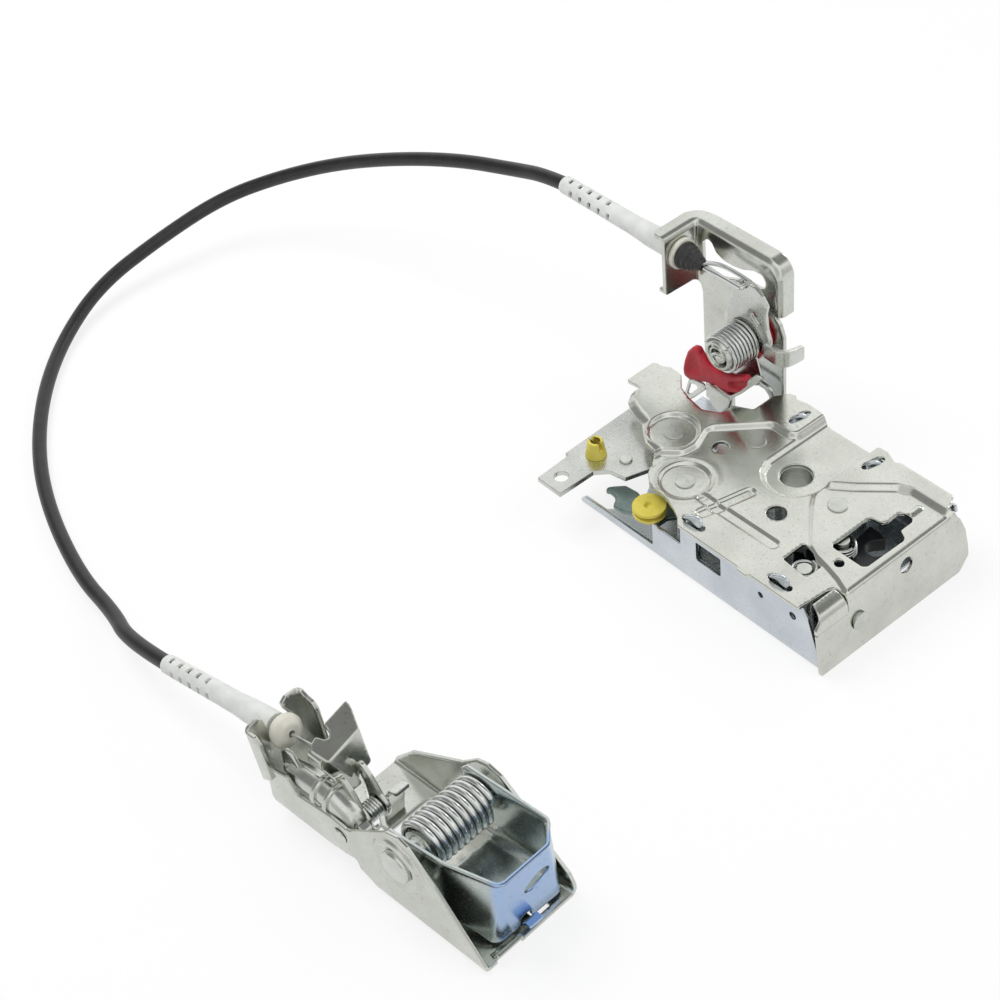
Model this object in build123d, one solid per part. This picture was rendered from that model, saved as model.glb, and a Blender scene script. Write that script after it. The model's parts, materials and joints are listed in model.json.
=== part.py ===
from build123d import *
import os
from math import acos, atan2, cos, degrees, hypot, pi, radians, sin, tan

# Sliding-door lock with an upright cable bracket, joined by a sheathed cable
# to a second latch. Millimetres, +Z up, both latches lie on z = 0. The origin
# is on the underside of the lock's base plate, +X runs along the lock.

# Sheet, running fits and layers
sheet_t = 2.0
lever_t = 2.5
play = 0.05
layer_gap = 0.4
seat_gap = 0.3
bend_rise = 45

# Lock housing
base_left = -98.0
base_front = -48.0
base_back = 61.5
wall_height = 36.0
lip_height = 7.0
notch_left = -41.5
notch_right = -20.0
flange_gap = 0.4
window_x = 0.5
window_size = (18.0, 12.5)
window_z = 24.8
ear_width = 9.0
ear_proud = 2.6
ear_slot = (14.0, 3.6)
near_ears = (-14.5, 47.0)
near_ear_y = -43.4
far_ears = ((-29.4, 52.0), (24.9, 49.6))

# Cover plate, its pressed levels and its end flange
cover_top = wall_height + sheet_t
raise_left = 3.0
raise_right = 1.5
raise_band = 2.5
sink_depth = 2.5
band_slope = 68
rib_depth = 1.4
rib_width = 8.0
dish_r = 15.2
release_dish_depth = 2.6
lock_dish_depth = 1.6
flange_foot_x = 82.3
flange_head_x = 77.5
flange_front = -50.0
flange_back = 61.5

# Pivots of the lock, x and y
release_pivot = (-71.5, -2.2)
lock_pivot = (-41.0, -23.3)
transfer_pivot = (-34.8, 23.5)
spacer_at = (30.9, 16.2)
claw_pivot = (47.5, 1.5)
pawl_pivot = (47.0, -25.5)
tube_at = (-3.0, 20.9)
stud_r = 4.0
stud_head_r = 5.5
tube_bore_r = 8.5
tube_wall = 2.5

# Striker mouth in the base plate
mouth_x = 66.4
mouth_width = 12.0
mouth_end_y = 0.0

# Claw, pawl and levers
claw_bottom = 19.0
claw_t = 8.0
claw_r = 25.0
claw_hub_r = 9.0
claw_heel_r = 18.5
claw_neck_r = 16.5
claw_notch_r = 14.5
claw_turn = 50.0
claw_mouth_angle = 55.0
nose_angle = -138.0
pawl_bottom = 20.6
pawl_t = 5.0
link_bottom = 18.0
link_t = 2.0
transfer_bottom = 22.0
transfer_pin_at = (-62.0, 12.0)
transfer_arm_end = (-32.8, -8.0)
pawl_arm = 12.0
pin_r = 2.0
lock_lever_bottom = 18.0
knob_at = (-47.5, -43.5)
knob_r = 9.2
knob_bottom = 23.5
notch_height = knob_bottom - 1.5
release_bottom = 26.0
release_t = 3.0
clip_at = (-97.0, -36.0)
rod_hole_at = (-97.5, -61.0)
rod_hole_r = 4.0
rivet_at = (-82.0, -28.0)

# Cable bracket, standing behind the lock
bracket_y = base_back
bracket_t = 2.5
neck_left = -112.5
neck_right = -51.4
head_left = -116.0
head_right = -56.1
head_corner_r = 7.0
flange_reach = 24.0
rim_width = 8.0

# Barrel, cable lever and rocker on the bracket
barrel_x = -70.0
barrel_z = 73.0
barrel_front = 30.0
barrel_r = 9.0
barrel_bore_r = 6.6
coil_wire = 1.9
coil_mean_r = 10.85
front_coil_turns = 8
rear_coil_turns = 2
front_coil_y = 31.0
cable_lever_y = 51.0
cable_lever_arm = 35.5
hub_r = 13.4
rocker_y = 35.0
rocker_depth = 11.0
carrier_t = 1.8

# Cable
cable_y = 48.8
cable_z = barrel_z + cable_lever_arm
head_top = cable_z + 12
wire_stroke = 7.6
conduit_d = 8.4
relief_length = 90.0
relief_r = 6.4
relief_tip_r = 5.0
ferrule_r = 7.6
lower_ferrule_r = 6.6
wire_r = 0.9
eye_wire_r = 1.3

# Second latch, in its own frame: u along it, v across it, z up
latch_origin = (100.1, -286.5)
latch_heading = 4.5
latch_width = 61.0
catch_pin_u = -52.0
catch_pin_z = 36.4
catch_pin_r = 6.0
catch_head_r = 10.0
catch_coil_wire = 4.0
catch_coil_mean_r = 11.2
catch_coil_turns = int((latch_width - 25) / catch_coil_wire)
catch_coil_start = 14.5
rim_z = 50.0
cup_foot_z = 4.0
cup_floor_z = 13.0
trigger_u = -93.0
trigger_z = 24.0
trigger_pin_r = 3.0
fork_u = -148.8
fork_v = 15.0
fork_z = 45.2
cable_rise = 12.0
fork_t = 2.5


def face_of(outline, corner=0.0):
    """Closed polygon face, with every corner rounded if a radius is given."""
    face = make_face(Polyline(*outline, close=True))
    return fillet(face.vertices(), corner) if corner else face


def flat(outline, bottom, thickness, corner=0.0):
    """Plate of an x, y outline that lies flat."""
    solid = extrude(face_of(outline, corner), thickness, dir=(0, 0, 1))
    return Pos(0, 0, bottom) * solid


def upright(outline, front, thickness, corner=0.0):
    """Plate of an x, z outline that stands across y."""
    solid = extrude(Plane.XZ * face_of(outline, corner), thickness, dir=(0, 1, 0))
    return Pos(0, front, 0) * solid


def endwise(outline, left, thickness, corner=0.0):
    """Plate of a y, z outline that stands across x."""
    solid = extrude(Plane.YZ * face_of(outline, corner), thickness, dir=(1, 0, 0))
    return Pos(left, 0, 0) * solid


def post(at, radius, bottom, top):
    """Round pin along z."""
    return Pos(at[0], at[1], (bottom + top) / 2) * Cylinder(radius, top - bottom)


def cross_pin(x, z, radius, front, back):
    """Round pin along y."""
    middle = Pos(x, (front + back) / 2, z)
    return middle * Rot(90, 0, 0) * Cylinder(radius, back - front)


def long_pin(y, z, radius, left, right):
    """Round pin along x."""
    middle = Pos((left + right) / 2, y, z)
    return middle * Rot(0, 90, 0) * Cylinder(radius, right - left)


def strap(start, end, width, bottom, thickness):
    """Flat bar with round ends between two x, y points."""
    run = hypot(end[0] - start[0], end[1] - start[1])
    angle = degrees(atan2(end[1] - start[1], end[0] - start[0]))
    middle = Pos((start[0] + end[0]) / 2, (start[1] + end[1]) / 2, bottom)
    return middle * Rot(0, 0, angle) * extrude(SlotCenterToCenter(run, width), thickness)


def upright_strap(start, end, width, front, thickness):
    """Bar with round ends between two x, z points, standing across y."""
    flat_bar = strap(start, end, width, 0, thickness)
    return Pos(0, front + thickness, 0) * Rot(90, 0, 0) * flat_bar


def slot_face(start, end, width):
    """Slot-shaped face between two x, y points."""
    run = hypot(end[0] - start[0], end[1] - start[1])
    angle = degrees(atan2(end[1] - start[1], end[0] - start[0]))
    middle = Pos((start[0] + end[0]) / 2, (start[1] + end[1]) / 2, 0)
    return middle * Rot(0, 0, angle) * SlotCenterToCenter(run, width)


def press_up(sheet, face, top, rise, slope=bend_rise):
    """Raise a region of a sheet whose top is at top, with sloped sides."""
    block = extrude(face, rise, dir=(0, 0, 1), taper=slope)
    return sheet + Pos(0, 0, top) * block - Pos(0, 0, top - sheet_t) * block


def press_down(sheet, face, top, depth):
    """Sink a region of a sheet whose top is at top, with sloped sides."""
    block = extrude(face, depth, dir=(0, 0, -1), taper=bend_rise)
    return sheet + Pos(0, 0, top - sheet_t) * block - Pos(0, 0, top) * block


def sink_dish(sheet, at, top, depth):
    """Sink a round dish for a stud's head into a sheet whose top is at top."""
    sheet += post(at, dish_r, top - depth - sheet_t, top - sheet_t)
    return sheet - Pos(at[0], at[1], top - depth / 2) * Cone(dish_r - 3.7, dish_r - 0.7, depth)


def around(centre, radius, angle):
    """Point at a radius and an angle in degrees from a centre."""
    return (centre[0] + radius * cos(radians(angle)), centre[1] + radius * sin(radians(angle)))


def sector(radius, start, end, thickness):
    """Flat slice of a disc about the origin, between two angles."""
    first, last = around((0, 0), radius, start), around((0, 0), radius, end)
    middle = around((0, 0), radius, (start + end) / 2)
    edges = [Line((0, 0), first), ThreePointArc(first, middle, last), Line(last, (0, 0))]
    return extrude(make_face(edges), thickness, dir=(0, 0, 1))


def coil(mean_r, wire, turns):
    """Close-wound coil along z, drawn as round ribs over a thin inner skin."""
    inner = mean_r - wire / 2
    profile = [Line((inner, 0), (mean_r, 0))]
    for turn in range(turns):
        low = turn * wire
        middle = (mean_r + wire / 2, low + wire / 2)
        profile.append(ThreePointArc((mean_r, low), middle, (mean_r, low + wire)))
    top = turns * wire
    profile.append(Polyline((mean_r, top), (inner, top), (inner, 0)))
    return revolve(Plane.XZ * make_face(profile), Axis.Z)


def wire_path(points, radius, bend):
    """Bent round wire through a few points."""
    path = FilletPolyline(*points, radius=bend)
    ring = Plane(origin=points[0], z_dir=path % 0) * Circle(radius)
    return sweep(ring, path)


# The lock


def flange_inner(z):
    """Inner x of the leaning end flange at a height, for the walls that meet it."""
    lean = (flange_foot_x - flange_head_x) / (cover_top + raise_right)
    return flange_foot_x - sheet_t - lean * z - flange_gap


def base_housing():
    """Base plate with its near and far walls, lip and four ears."""
    floor = flat(
        [
            (base_left, base_front), (flange_inner(sheet_t), base_front),
            (flange_inner(sheet_t), base_back), (-62, base_back), (-62, 40), (-90, 40),
            (-90, base_back), (neck_left, base_back), (neck_left, 22), (-86, 6), (-80, -14),
            (-70, -30), (base_left, -40),
        ],
        0, sheet_t,
    )
    near = upright(
        [
            (base_left, 0), (flange_inner(0), 0), (flange_inner(wall_height) - 2, wall_height - 14),
            (flange_inner(wall_height) - 5, wall_height - 5), (flange_inner(wall_height) - 10, wall_height),
            (notch_right, wall_height), (notch_right, notch_height), (notch_left + 4, notch_height),
            (notch_left + 3, notch_height + 1), (notch_left, notch_height + 1),
            (notch_left, lip_height), (base_left + 3, lip_height), (base_left, lip_height - 3),
        ],
        base_front, sheet_t,
    )
    window_w, window_h = window_size
    near -= Pos(window_x, base_front, window_z) * Box(window_w, 3 * sheet_t, window_h)
    near -= cross_pin(38, 25.7, 1.8, base_front - 1, base_front + sheet_t + 1)
    near -= cross_pin(60.2, 26.7, 2.3, base_front - 1, base_front + sheet_t + 1)
    far = upright(
        [
            (-62, 0), (flange_inner(0), 0), (flange_inner(wall_height), wall_height),
            (16, wall_height), (16, cover_top - sink_depth - sheet_t - layer_gap),
            (-24, cover_top - sink_depth - sheet_t - layer_gap), (-24, wall_height), (-46, wall_height),
            (-48, 14), (-62, 12),
        ],
        base_back - sheet_t, sheet_t,
    )
    far -= Pos(mouth_x, base_back, 17) * Box(mouth_width + 4, 3 * sheet_t, 30)
    body = floor + near + far
    for x in near_ears:
        body += near_ear(x)
    for (x, y), rise in zip(far_ears, (raise_left, raise_right + raise_band)):
        top = cover_top + rise + ear_proud
        body += Pos(x, y, top / 2) * Box(sheet_t, ear_width, top)
    mouth_run = base_back - mouth_end_y
    body -= Pos(mouth_x, mouth_end_y + mouth_run / 2 + 2, 0) * Box(mouth_width, mouth_run + 4, 3 * sheet_t)
    body -= post((mouth_x, mouth_end_y), mouth_width / 2, -1, sheet_t + 1)
    body -= post(tube_at, tube_bore_r, -1, sheet_t + 1)
    return body


def near_ear(x):
    """Ear from the base plate through the cover, with its corners cut."""
    top = cover_top + ear_proud
    half = ear_width / 2
    outline = [
        (x - half, 0), (x + half, 0), (x + half, top - 1.6), (x + half - 1.6, top),
        (x - half + 1.6, top), (x - half, top - 1.6),
    ]
    return upright(outline, near_ear_y - sheet_t / 2, sheet_t)


def cover_outline():
    return [
        (-19, -49), (66, -49), (67.5, -32), (69, -27), (flange_head_x, -27), (flange_head_x, 49),
        (74.2, 52), (72.8, 59), (34, 59.8), (31.5, 58.3), (24, 62.3), (18, 61.8), (16, 60.5),
        (-15, 60.5), (-20, 62), (-34, 62.5), (-41, 60.8), (-43, 63), (-47, 61.8), (-52, 54),
        (-52, 39), (-62, 34), (-63, 25), (-72, 20), (-84, 22), (-93, 25), (-101, 32.5),
        (-110, 33), (-114, 30.5), (-120, 29.6), (-119.6, 8.5), (-109.4, 9.4), (-107.8, -0.7),
        (-102, -5), (-86.6, -10), (-75, -18), (-67, -20), (-57, -35.5), (-51, -38.7),
        (-42.5, -38.6), (-35.6, -41), (-25, -43),
    ]


def left_plateau():
    """The higher pressing that carries the release stud and the far edge."""
    return face_of(
        [
            (-130, -30), (-77, -19), (-60, -14), (-55, -2), (-60, 12), (-37, 38), (-24, 38),
            (-22, 75), (-130, 75),
        ],
        5,
    )


def right_plateau():
    """The slightly raised pressing round the striker cut-out."""
    return face_of([(17, 80), (18, 14), (21, 6), (40.5, -14), (62, -21), (95, -32), (95, 80)], 3)


def far_band():
    """The high pressing along the far right edge, with its gentle slope."""
    return face_of(
        [
            (15.5, 90), (16.5, 20), (22, 23), (28, 26), (36, 30.5), (43, 35.5), (50, 40.5), (54, 42),
            (77, 42.5), (77, 90),
        ]
    )


def tube_recess():
    """The sunk channel from the far edge round the fixing tube."""
    return face_of(
        [
            (-21, 80), (-21.5, 17), (-18, 9), (-13, 5), (-8, 3), (-2, 2.3), (4, 3.5), (9, 6), (13.5, 11),
            (15, 20), (15, 80),
        ]
    )


def striker_cutout():
    return [
        (49.7, -7.6), (51, 21.5), (56.8, 22.4), (58, 33), (61.5, 35.2), (65.8, 33.8), (67, 23),
        (72.6, 20.3), (71.8, -5.9), (69.9, -8.3),
    ]


def end_flange():
    """The cover's end, bent down to the floor and leaning outwards."""
    bend_z = cover_top + raise_right
    head = flange_head_x
    slab = upright(
        [
            (head - 9, bend_z), (head - 2.5, bend_z), (head - 0.6, bend_z - 0.8), (head + 0.4, bend_z - 2.6),
            (flange_foot_x, 0), (flange_foot_x - sheet_t, 0), (head - 1.7, bend_z - 3.2),
            (head - 2.9, bend_z - sheet_t), (head - 9, bend_z - sheet_t),
        ],
        -27, flange_back + 27,
    )
    # Nearer than the cover's step the bend is wide and starts under the cover's edge
    slope = (flange_foot_x - head - 0.4) / (bend_z - 2.6)
    knee_x = flange_foot_x - slope * 27
    slab += upright(
        [
            (69.6, 37.6), (72.6, 36.8), (75.4, 34.8), (77.6, 31.4), (knee_x, 27), (flange_foot_x, 0),
            (flange_foot_x - sheet_t, 0), (knee_x - sheet_t, 27), (75.7, 30.6), (74, 33.4),
            (71.8, 35), (69.4, 35.7),
        ],
        flange_front, -27 - flange_front,
    )
    near_corner = [(flange_front - 1, 29), (flange_front + 4.4, 33.5), (flange_front + 4.4, 45), (flange_front - 1, 45)]
    slab -= endwise(near_corner, 60, 30)
    far_top = [(49, 45), (51.5, 40), (56.5, 34), (60, 25), (61.6, 14), (70, 14), (70, 45)]
    slab -= endwise(far_top, 60, 30)
    far_corner = [(flange_back + 1, -1), (flange_back - 8, -1), (flange_back + 1, 9)]
    slab -= endwise(far_corner, head - 5, 15)
    slab -= long_pin(30, 15.5, 4.6, head - 5, flange_foot_x + 3)
    slab -= long_pin(-20.5, 18, 4.0, head - 5, flange_foot_x + 3)
    return slab


def cover_plate():
    """Cover with its pressed levels, ribs, bosses, cut-outs and end flange."""
    wide = [(-125, -55), (85, -55), (85, 75), (-125, 75)]
    sheet = flat(wide, wall_height, sheet_t)
    sheet = press_up(sheet, left_plateau(), cover_top, raise_left)
    sheet = press_up(sheet, right_plateau(), cover_top, raise_right)
    sheet = press_up(sheet, far_band(), cover_top + raise_right, raise_band, band_slope)
    sheet = press_down(sheet, tube_recess(), cover_top, sink_depth)
    ribs = slot_face((-24.5, -26.5), (25.5, -26), rib_width)
    ribs += slot_face((-16.3, -34.8), (-9.7, -7), rib_width)
    sheet = press_down(sheet, ribs, cover_top, rib_depth)
    sheet &= flat(cover_outline(), cover_top - 10, 20)
    sheet += end_flange()
    sheet = sink_dish(sheet, release_pivot, cover_top + raise_left, release_dish_depth)
    sheet = sink_dish(sheet, lock_pivot, cover_top, lock_dish_depth)
    sheet -= flat(striker_cutout(), cover_top - 5, 20)
    small_window = [(36.8, -29.6), (36.9, -14.3), (39.6, -14), (54.5, -21), (53, -30.7), (47.4, -31.2)]
    sheet -= flat(small_window, cover_top - 5, 20)
    for at, radius in (((-45.5, 7.4), 4.3), ((11.2, -8.4), 5.0), ((60, -14.2), 2.4)):
        sheet -= post(at, radius, cover_top - 5, cover_top + 8)
    sheet -= post(tube_at, tube_bore_r, cover_top - 10, cover_top + 8)
    slot_long, slot_wide = ear_slot
    for x in near_ears:
        sheet -= Pos(x, near_ear_y, cover_top) * Box(slot_long, slot_wide, 20)
    for x, y in far_ears:
        sheet -= Pos(x, y, cover_top) * Box(slot_wide, slot_long, 20)
    return sheet


def stud(at, top, head=0.9):
    """Riveted stud from the base plate to the cover, with a low round head."""
    body = post(at, stud_r, 0, top)
    return body + post(at, stud_head_r, top, top + head)


def shouldered_stud(at, top, bottom_shoulder):
    """Stud that stands on the base plate, with a shoulder under its lever."""
    body = stud(at, top)
    return body + post(at, stud_r + 1.2, sheet_t, bottom_shoulder - layer_gap)


def blind_stud(at, top, bottom_shoulder):
    """Stud that stays under the cover, with a shoulder under its lever."""
    body = post(at, stud_r, 0, top)
    return body + post(at, stud_r + 1.2, sheet_t, bottom_shoulder - layer_gap)


def claw():
    """Fork bolt with its striker mouth, coated all over."""
    jaws_end = claw_mouth_angle + 43
    notch_end = nose_angle + claw_turn + 26
    body = post((0, 0), claw_hub_r, 0, claw_t)
    body += sector(claw_heel_r, nose_angle - 8, nose_angle + claw_turn + 2, claw_t)
    body += sector(claw_notch_r, nose_angle + claw_turn, notch_end, claw_t)
    body += sector(claw_neck_r, notch_end - 1, -20, claw_t)
    body += sector(claw_r, -23, 38, claw_t)
    body += sector(claw_r, 36, jaws_end, claw_t)
    mouth = strap((17.5, 0), (40, 0), mouth_width - 1, -1, claw_t + 2)
    body -= Rot(0, 0, claw_mouth_angle) * mouth
    body -= post((0, 0), stud_r + play, -1, claw_t + 1)
    return Pos(claw_pivot[0], claw_pivot[1], claw_bottom) * body


def pawl():
    """Pawl that rests on the claw's rim, with the pin of its link."""
    x, y = pawl_pivot
    nose = around(claw_pivot, claw_heel_r + layer_gap, nose_angle)
    back = around(claw_pivot, claw_heel_r + 6, nose_angle - 6)
    heading = degrees(atan2(nose[1] - y, nose[0] - x))
    arm = [nose, back, around(pawl_pivot, 6.8, heading + 90), around(pawl_pivot, 3, heading - 90)]
    body = flat(arm, pawl_bottom, pawl_t)
    body += post(pawl_pivot, 7, pawl_bottom, pawl_bottom + pawl_t)
    body += strap((x, y), (x, y - pawl_arm), 6.4, pawl_bottom, pawl_t)
    body -= post(pawl_pivot, stud_r + play, pawl_bottom - 1, pawl_bottom + pawl_t + 1)
    body += post((x, y - pawl_arm), pin_r, link_bottom - 0.8, pawl_bottom)
    return body


def pawl_link():
    """Flat bar between the transfer lever and the pawl."""
    start = transfer_arm_end
    end = (pawl_pivot[0], pawl_pivot[1] - pawl_arm)
    bar = strap(start, end, 6.8, link_bottom, link_t)
    low, high = link_bottom - 1, link_bottom + link_t + 1
    for at in (start, end):
        bar -= post(at, pin_r + 0.8, low, high)
    return bar


def transfer_lever():
    """Lever that turns the release lever's motion towards the pawl."""
    pivot = transfer_pivot
    body = strap(pivot, transfer_pin_at, 10, transfer_bottom, lever_t)
    body += strap(pivot, transfer_arm_end, 8, transfer_bottom, lever_t)
    body += post(pivot, 8, transfer_bottom, transfer_bottom + lever_t)
    low, high = transfer_bottom - 1, transfer_bottom + lever_t + 1
    body -= post(pivot, stud_r + play, low, high)
    away = (transfer_pin_at[0] - 2.6, transfer_pin_at[1] - 1.1)
    toward = (transfer_pin_at[0] + 4.1, transfer_pin_at[1] + 1.7)
    body -= strap(away, toward, 2 * pin_r + 1.0, low, lever_t + 2)
    body += post(transfer_arm_end, pin_r, link_bottom - 0.8, transfer_bottom)
    return body


def release_lever():
    """Outer release lever with the eye for its rod and the transfer pin."""
    outline = [
        (-106, -70.5), (-88, -70.5), (-88, -46.5), (-82.5, -40), (-72, -37.8), (-67.7, -24),
        (-60, -14), (-57, 2), (-57, 17), (-66, 17), (-80, 13), (-95, 10), (-111.6, 3),
        (-109.8, -47), (-107.3, -47.3), (-107.2, -50.5),
    ]
    body = flat(outline, release_bottom, release_t)
    low, high = release_bottom - 1, release_bottom + release_t + 1
    body -= post(release_pivot, stud_r + play, low, high)
    body -= post(rod_hole_at, rod_hole_r, low, high)
    body -= post(clip_at, 4.0, low, high)
    body -= post(rivet_at, 2.0, low, high)
    body += post(transfer_pin_at, pin_r, transfer_bottom - 0.8, release_bottom)
    return body


def rod_clip():
    """Moulded clip for a rod, pressed through the release lever."""
    top = release_bottom + release_t
    body = post(clip_at, 3.9, release_bottom - 2, top + 1)
    body += Pos(*clip_at, top + 5) * Cone(6.0, 4.2, 10)
    body += post(clip_at, 6.4, release_bottom - 3.4, release_bottom - 0.1)
    body -= post(clip_at, 2.3, release_bottom - 4, top + 11)
    body -= Pos(*clip_at, top + 8) * Box(13, 1.6, 6)
    return body


def lever_rivet():
    """Rivet in the release lever."""
    top = release_bottom + release_t
    body = post(rivet_at, 2.0, release_bottom, top)
    return body + post(rivet_at, 3.5, top, top + 1.3) + post(rivet_at, 3.2, release_bottom - 1, release_bottom)


def lock_lever():
    """Inner lever with the knob's boss and the hooked end."""
    top = lock_lever_bottom + lever_t
    body = post(lock_pivot, 8.5, lock_lever_bottom, top)
    body += strap(lock_pivot, knob_at, 10, lock_lever_bottom, lever_t)
    hook_at = (-68.0, -44.0)
    body += strap(knob_at, hook_at, 8.5, lock_lever_bottom, lever_t)
    body += post(hook_at, 7.5, lock_lever_bottom, top)
    body -= strap((-69, -44), (-82, -46), 6.4, lock_lever_bottom - 1, lever_t + 2)
    body -= post(lock_pivot, stud_r + play, lock_lever_bottom - 1, top + 1)
    body -= post(knob_at, 3.0, lock_lever_bottom - 1, top + 1)
    return body


def lock_knob():
    """Moulded bush with two flanges, for the inner rod's end."""
    lever_top = lock_lever_bottom + lever_t
    body = post(knob_at, 3.0, lock_lever_bottom - 1.2, knob_bottom)
    body += post(knob_at, 4.6, lever_top, knob_bottom)
    body += post(knob_at, knob_r, knob_bottom, knob_bottom + 1.8)
    body += post(knob_at, 6.6, knob_bottom + 1.8, knob_bottom + 3.6)
    body += post(knob_at, knob_r, knob_bottom + 3.6, knob_bottom + 5.6)
    body -= Pos(*knob_at, knob_bottom + 5) * Cone(1.4, 3.2, 2.4)
    return body


def fixing_tube():
    """Spacer tube for the lock's main fixing screw."""
    top = cover_top - sink_depth - sheet_t
    outer = post(tube_at, tube_bore_r + tube_wall, sheet_t, top)
    return outer - post(tube_at, tube_bore_r, sheet_t - 1, top + 1)


def face_plug():
    """Plug pressed into the end flange."""
    lean = (flange_foot_x - flange_head_x) / (cover_top + raise_right)
    outer_x = flange_foot_x - 18 * lean
    body = long_pin(-20.5, 18, 3.95, outer_x - 4, outer_x + 0.3)
    return body + long_pin(-20.5, 18, 5.2, outer_x + 0.7, outer_x + 1.5) + long_pin(
        -20.5, 18, 3.95, outer_x, outer_x + 0.9
    )


def lock_coil(at, mean_r, wire, turns, bottom):
    """Coil round one of the lock's studs."""
    return Pos(*at, bottom) * coil(mean_r, wire, turns)


# The bracket and what turns on it


def bracket_window():
    return [
        (-112.4, 94), (-112.4, 110), (-107, 115), (-100, 107.5), (-88, 106), (-71, 111),
        (-64.5, 108.5), (-66, 102), (-76, 101), (-99, 93),
    ]


def bracket_rim():
    """Rim round the bracket's head, bent away from the lock."""
    back = bracket_y + bracket_t
    far = back + rim_width
    corner_x, corner_z = head_right, head_top - head_corner_r
    outer_r = head_corner_r + bracket_t
    front = bracket_y - flange_reach
    left = head_left - bracket_t - 7
    top = flat(
        [
            (head_left - bracket_t, front), (left, front + 2), (left, back - 4), (left + 4, far - 3),
            (left + 9, far), (corner_x - head_corner_r, far), (corner_x - head_corner_r, bracket_y),
            (head_left, bracket_y), (head_left, front),
        ],
        head_top, bracket_t,
    )
    side = flat(
        [(corner_x, bracket_y), (corner_x + bracket_t, bracket_y), (corner_x + bracket_t, far), (corner_x, far)],
        88, corner_z - 88,
    )
    centre_x = corner_x - head_corner_r
    elbow = cross_pin(centre_x, corner_z, outer_r, bracket_y, far)
    elbow -= cross_pin(centre_x, corner_z, head_corner_r, bracket_y - 2, far + 2)
    elbow &= Pos(centre_x + 10, bracket_y, corner_z + 10) * Box(20, 40, 20)
    return top + side + elbow


def cable_bracket():
    """Pressed bracket: neck, head with its window, cable flange and rim."""
    centre_x = head_right - head_corner_r
    plate = upright(
        [
            (neck_left, 0), (-91, 0), (-91, 30), (-88, 33.5), (-65, 33.5), (-62, 30.5), (-62, 0),
            (neck_right, 0), (neck_right, 76), (-54.2, 84), (-57, 88), (head_right, 88),
            (head_right, head_top - head_corner_r), (centre_x, head_top - head_corner_r),
            (centre_x, head_top), (head_left, head_top), (head_left, 83), (neck_left, 74),
        ],
        bracket_y, bracket_t,
    )
    plate += cross_pin(centre_x, head_top - head_corner_r, head_corner_r, bracket_y, bracket_y + bracket_t)
    plate -= upright(bracket_window(), bracket_y - 1, bracket_t + 2, 2)
    # Step pressed round the foot's cut-out
    hem = [(-62, 15), (-58.8, 15), (-58.8, 32), (-62, 37.5), (-84, 38.5), (-84, 33.5), (-65, 33.5), (-62, 30.5)]
    plate += upright(hem, bracket_y - 0.8, 1.6)
    front = bracket_y - flange_reach
    back = bracket_y + bracket_t
    cheek = endwise(
        [(front, 85), (bracket_y - 3, 84), (back, 84), (back, head_top), (front, head_top)],
        head_left - bracket_t, bracket_t,
    )
    cheek -= long_pin(cable_y, cable_z, ferrule_r - 1, head_left - 5, head_left + 5)
    foot = flat([(head_left - bracket_t - 4, front), (head_left, front), (head_left, front + 4), (head_left - bracket_t - 4, front + 3)], 85, 2.2)
    return plate + cheek + foot + bracket_rim()


def bracket_barrel():
    """Slotted hollow pin riveted to the bracket, with a core and a front lip."""
    body = cross_pin(barrel_x, barrel_z, barrel_r, barrel_front, bracket_y)
    body -= cross_pin(barrel_x, barrel_z, barrel_bore_r, barrel_front - 1, bracket_y - 8)
    for angle in (35, 155, 275):
        cut = Pos(barrel_bore_r + 3, 0, 0) * Box(8, 12, 3.4)
        body -= Pos(barrel_x, barrel_front, barrel_z) * Rot(0, angle, 0) * cut
    body += cross_pin(barrel_x, barrel_z, 3.2, barrel_front + 2, bracket_y - 7)
    return body


def front_coil():
    """Torsion spring in front of the cable lever."""
    body = coil(coil_mean_r, coil_wire, front_coil_turns)
    return Pos(barrel_x, front_coil_y, barrel_z) * Rot(-90, 0, 0) * body


def rear_coil():
    """Short torsion spring between the cable lever and the bracket."""
    start = cable_lever_y + lever_t + layer_gap
    return Pos(barrel_x, start, barrel_z) * Rot(-90, 0, 0) * coil(coil_mean_r, coil_wire, rear_coil_turns)


def rear_collar():
    """Moulded collar on the barrel against the bracket."""
    body = cross_pin(barrel_x, barrel_z, 13.2, bracket_y - 2.6, bracket_y)
    return body - cross_pin(barrel_x, barrel_z, barrel_r, bracket_y - 4, bracket_y + 1)


def cable_lever():
    """Lever on the barrel that pulls the cable, with its stop hook."""
    x, z, front = barrel_x, barrel_z, cable_lever_y
    body = cross_pin(x, z, hub_r, front, front + lever_t)
    arm = [
        (x - hub_r, z), (x - 15, z + 8), (x - 15, z + 13), (x - 10, z + 25), (x - 6, z + 38),
        (x + 4, z + 38.5), (x + 12, z + 35), (x + 17, z + 30), (x + 15, z + 24), (x + 16.5, z + 14),
        (x + 18.7, z + 7), (x + 18.7, z - 2), (x + hub_r - 1, z - 4),
    ]
    body += upright(arm, front, lever_t)
    body -= upright_strap((x + 6, z + 20), (x + 11.5, z + 15), 3.2, front - 1, lever_t + 2)
    notch = (x, z + cable_lever_arm)
    body -= upright_strap(notch, (x, z + 46), 2 * eye_wire_r + 1.0, front - 1, lever_t + 2)
    tab_left, tab_right = x + 17, x + 28.5
    body += upright([(tab_left, z - 2), (tab_right, z - 3), (tab_right, z + 7.5), (tab_left, z + 6)], front, lever_t)
    hook_back = front + 13
    side = [(front, z - 3), (hook_back, z - 5), (hook_back, z + 4.5), (front, z + 7.5)]
    body += endwise(side, tab_right - lever_t, lever_t)
    body -= cross_pin(x, z, barrel_r + play, front - 1, front + lever_t + 1)
    return body


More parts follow.
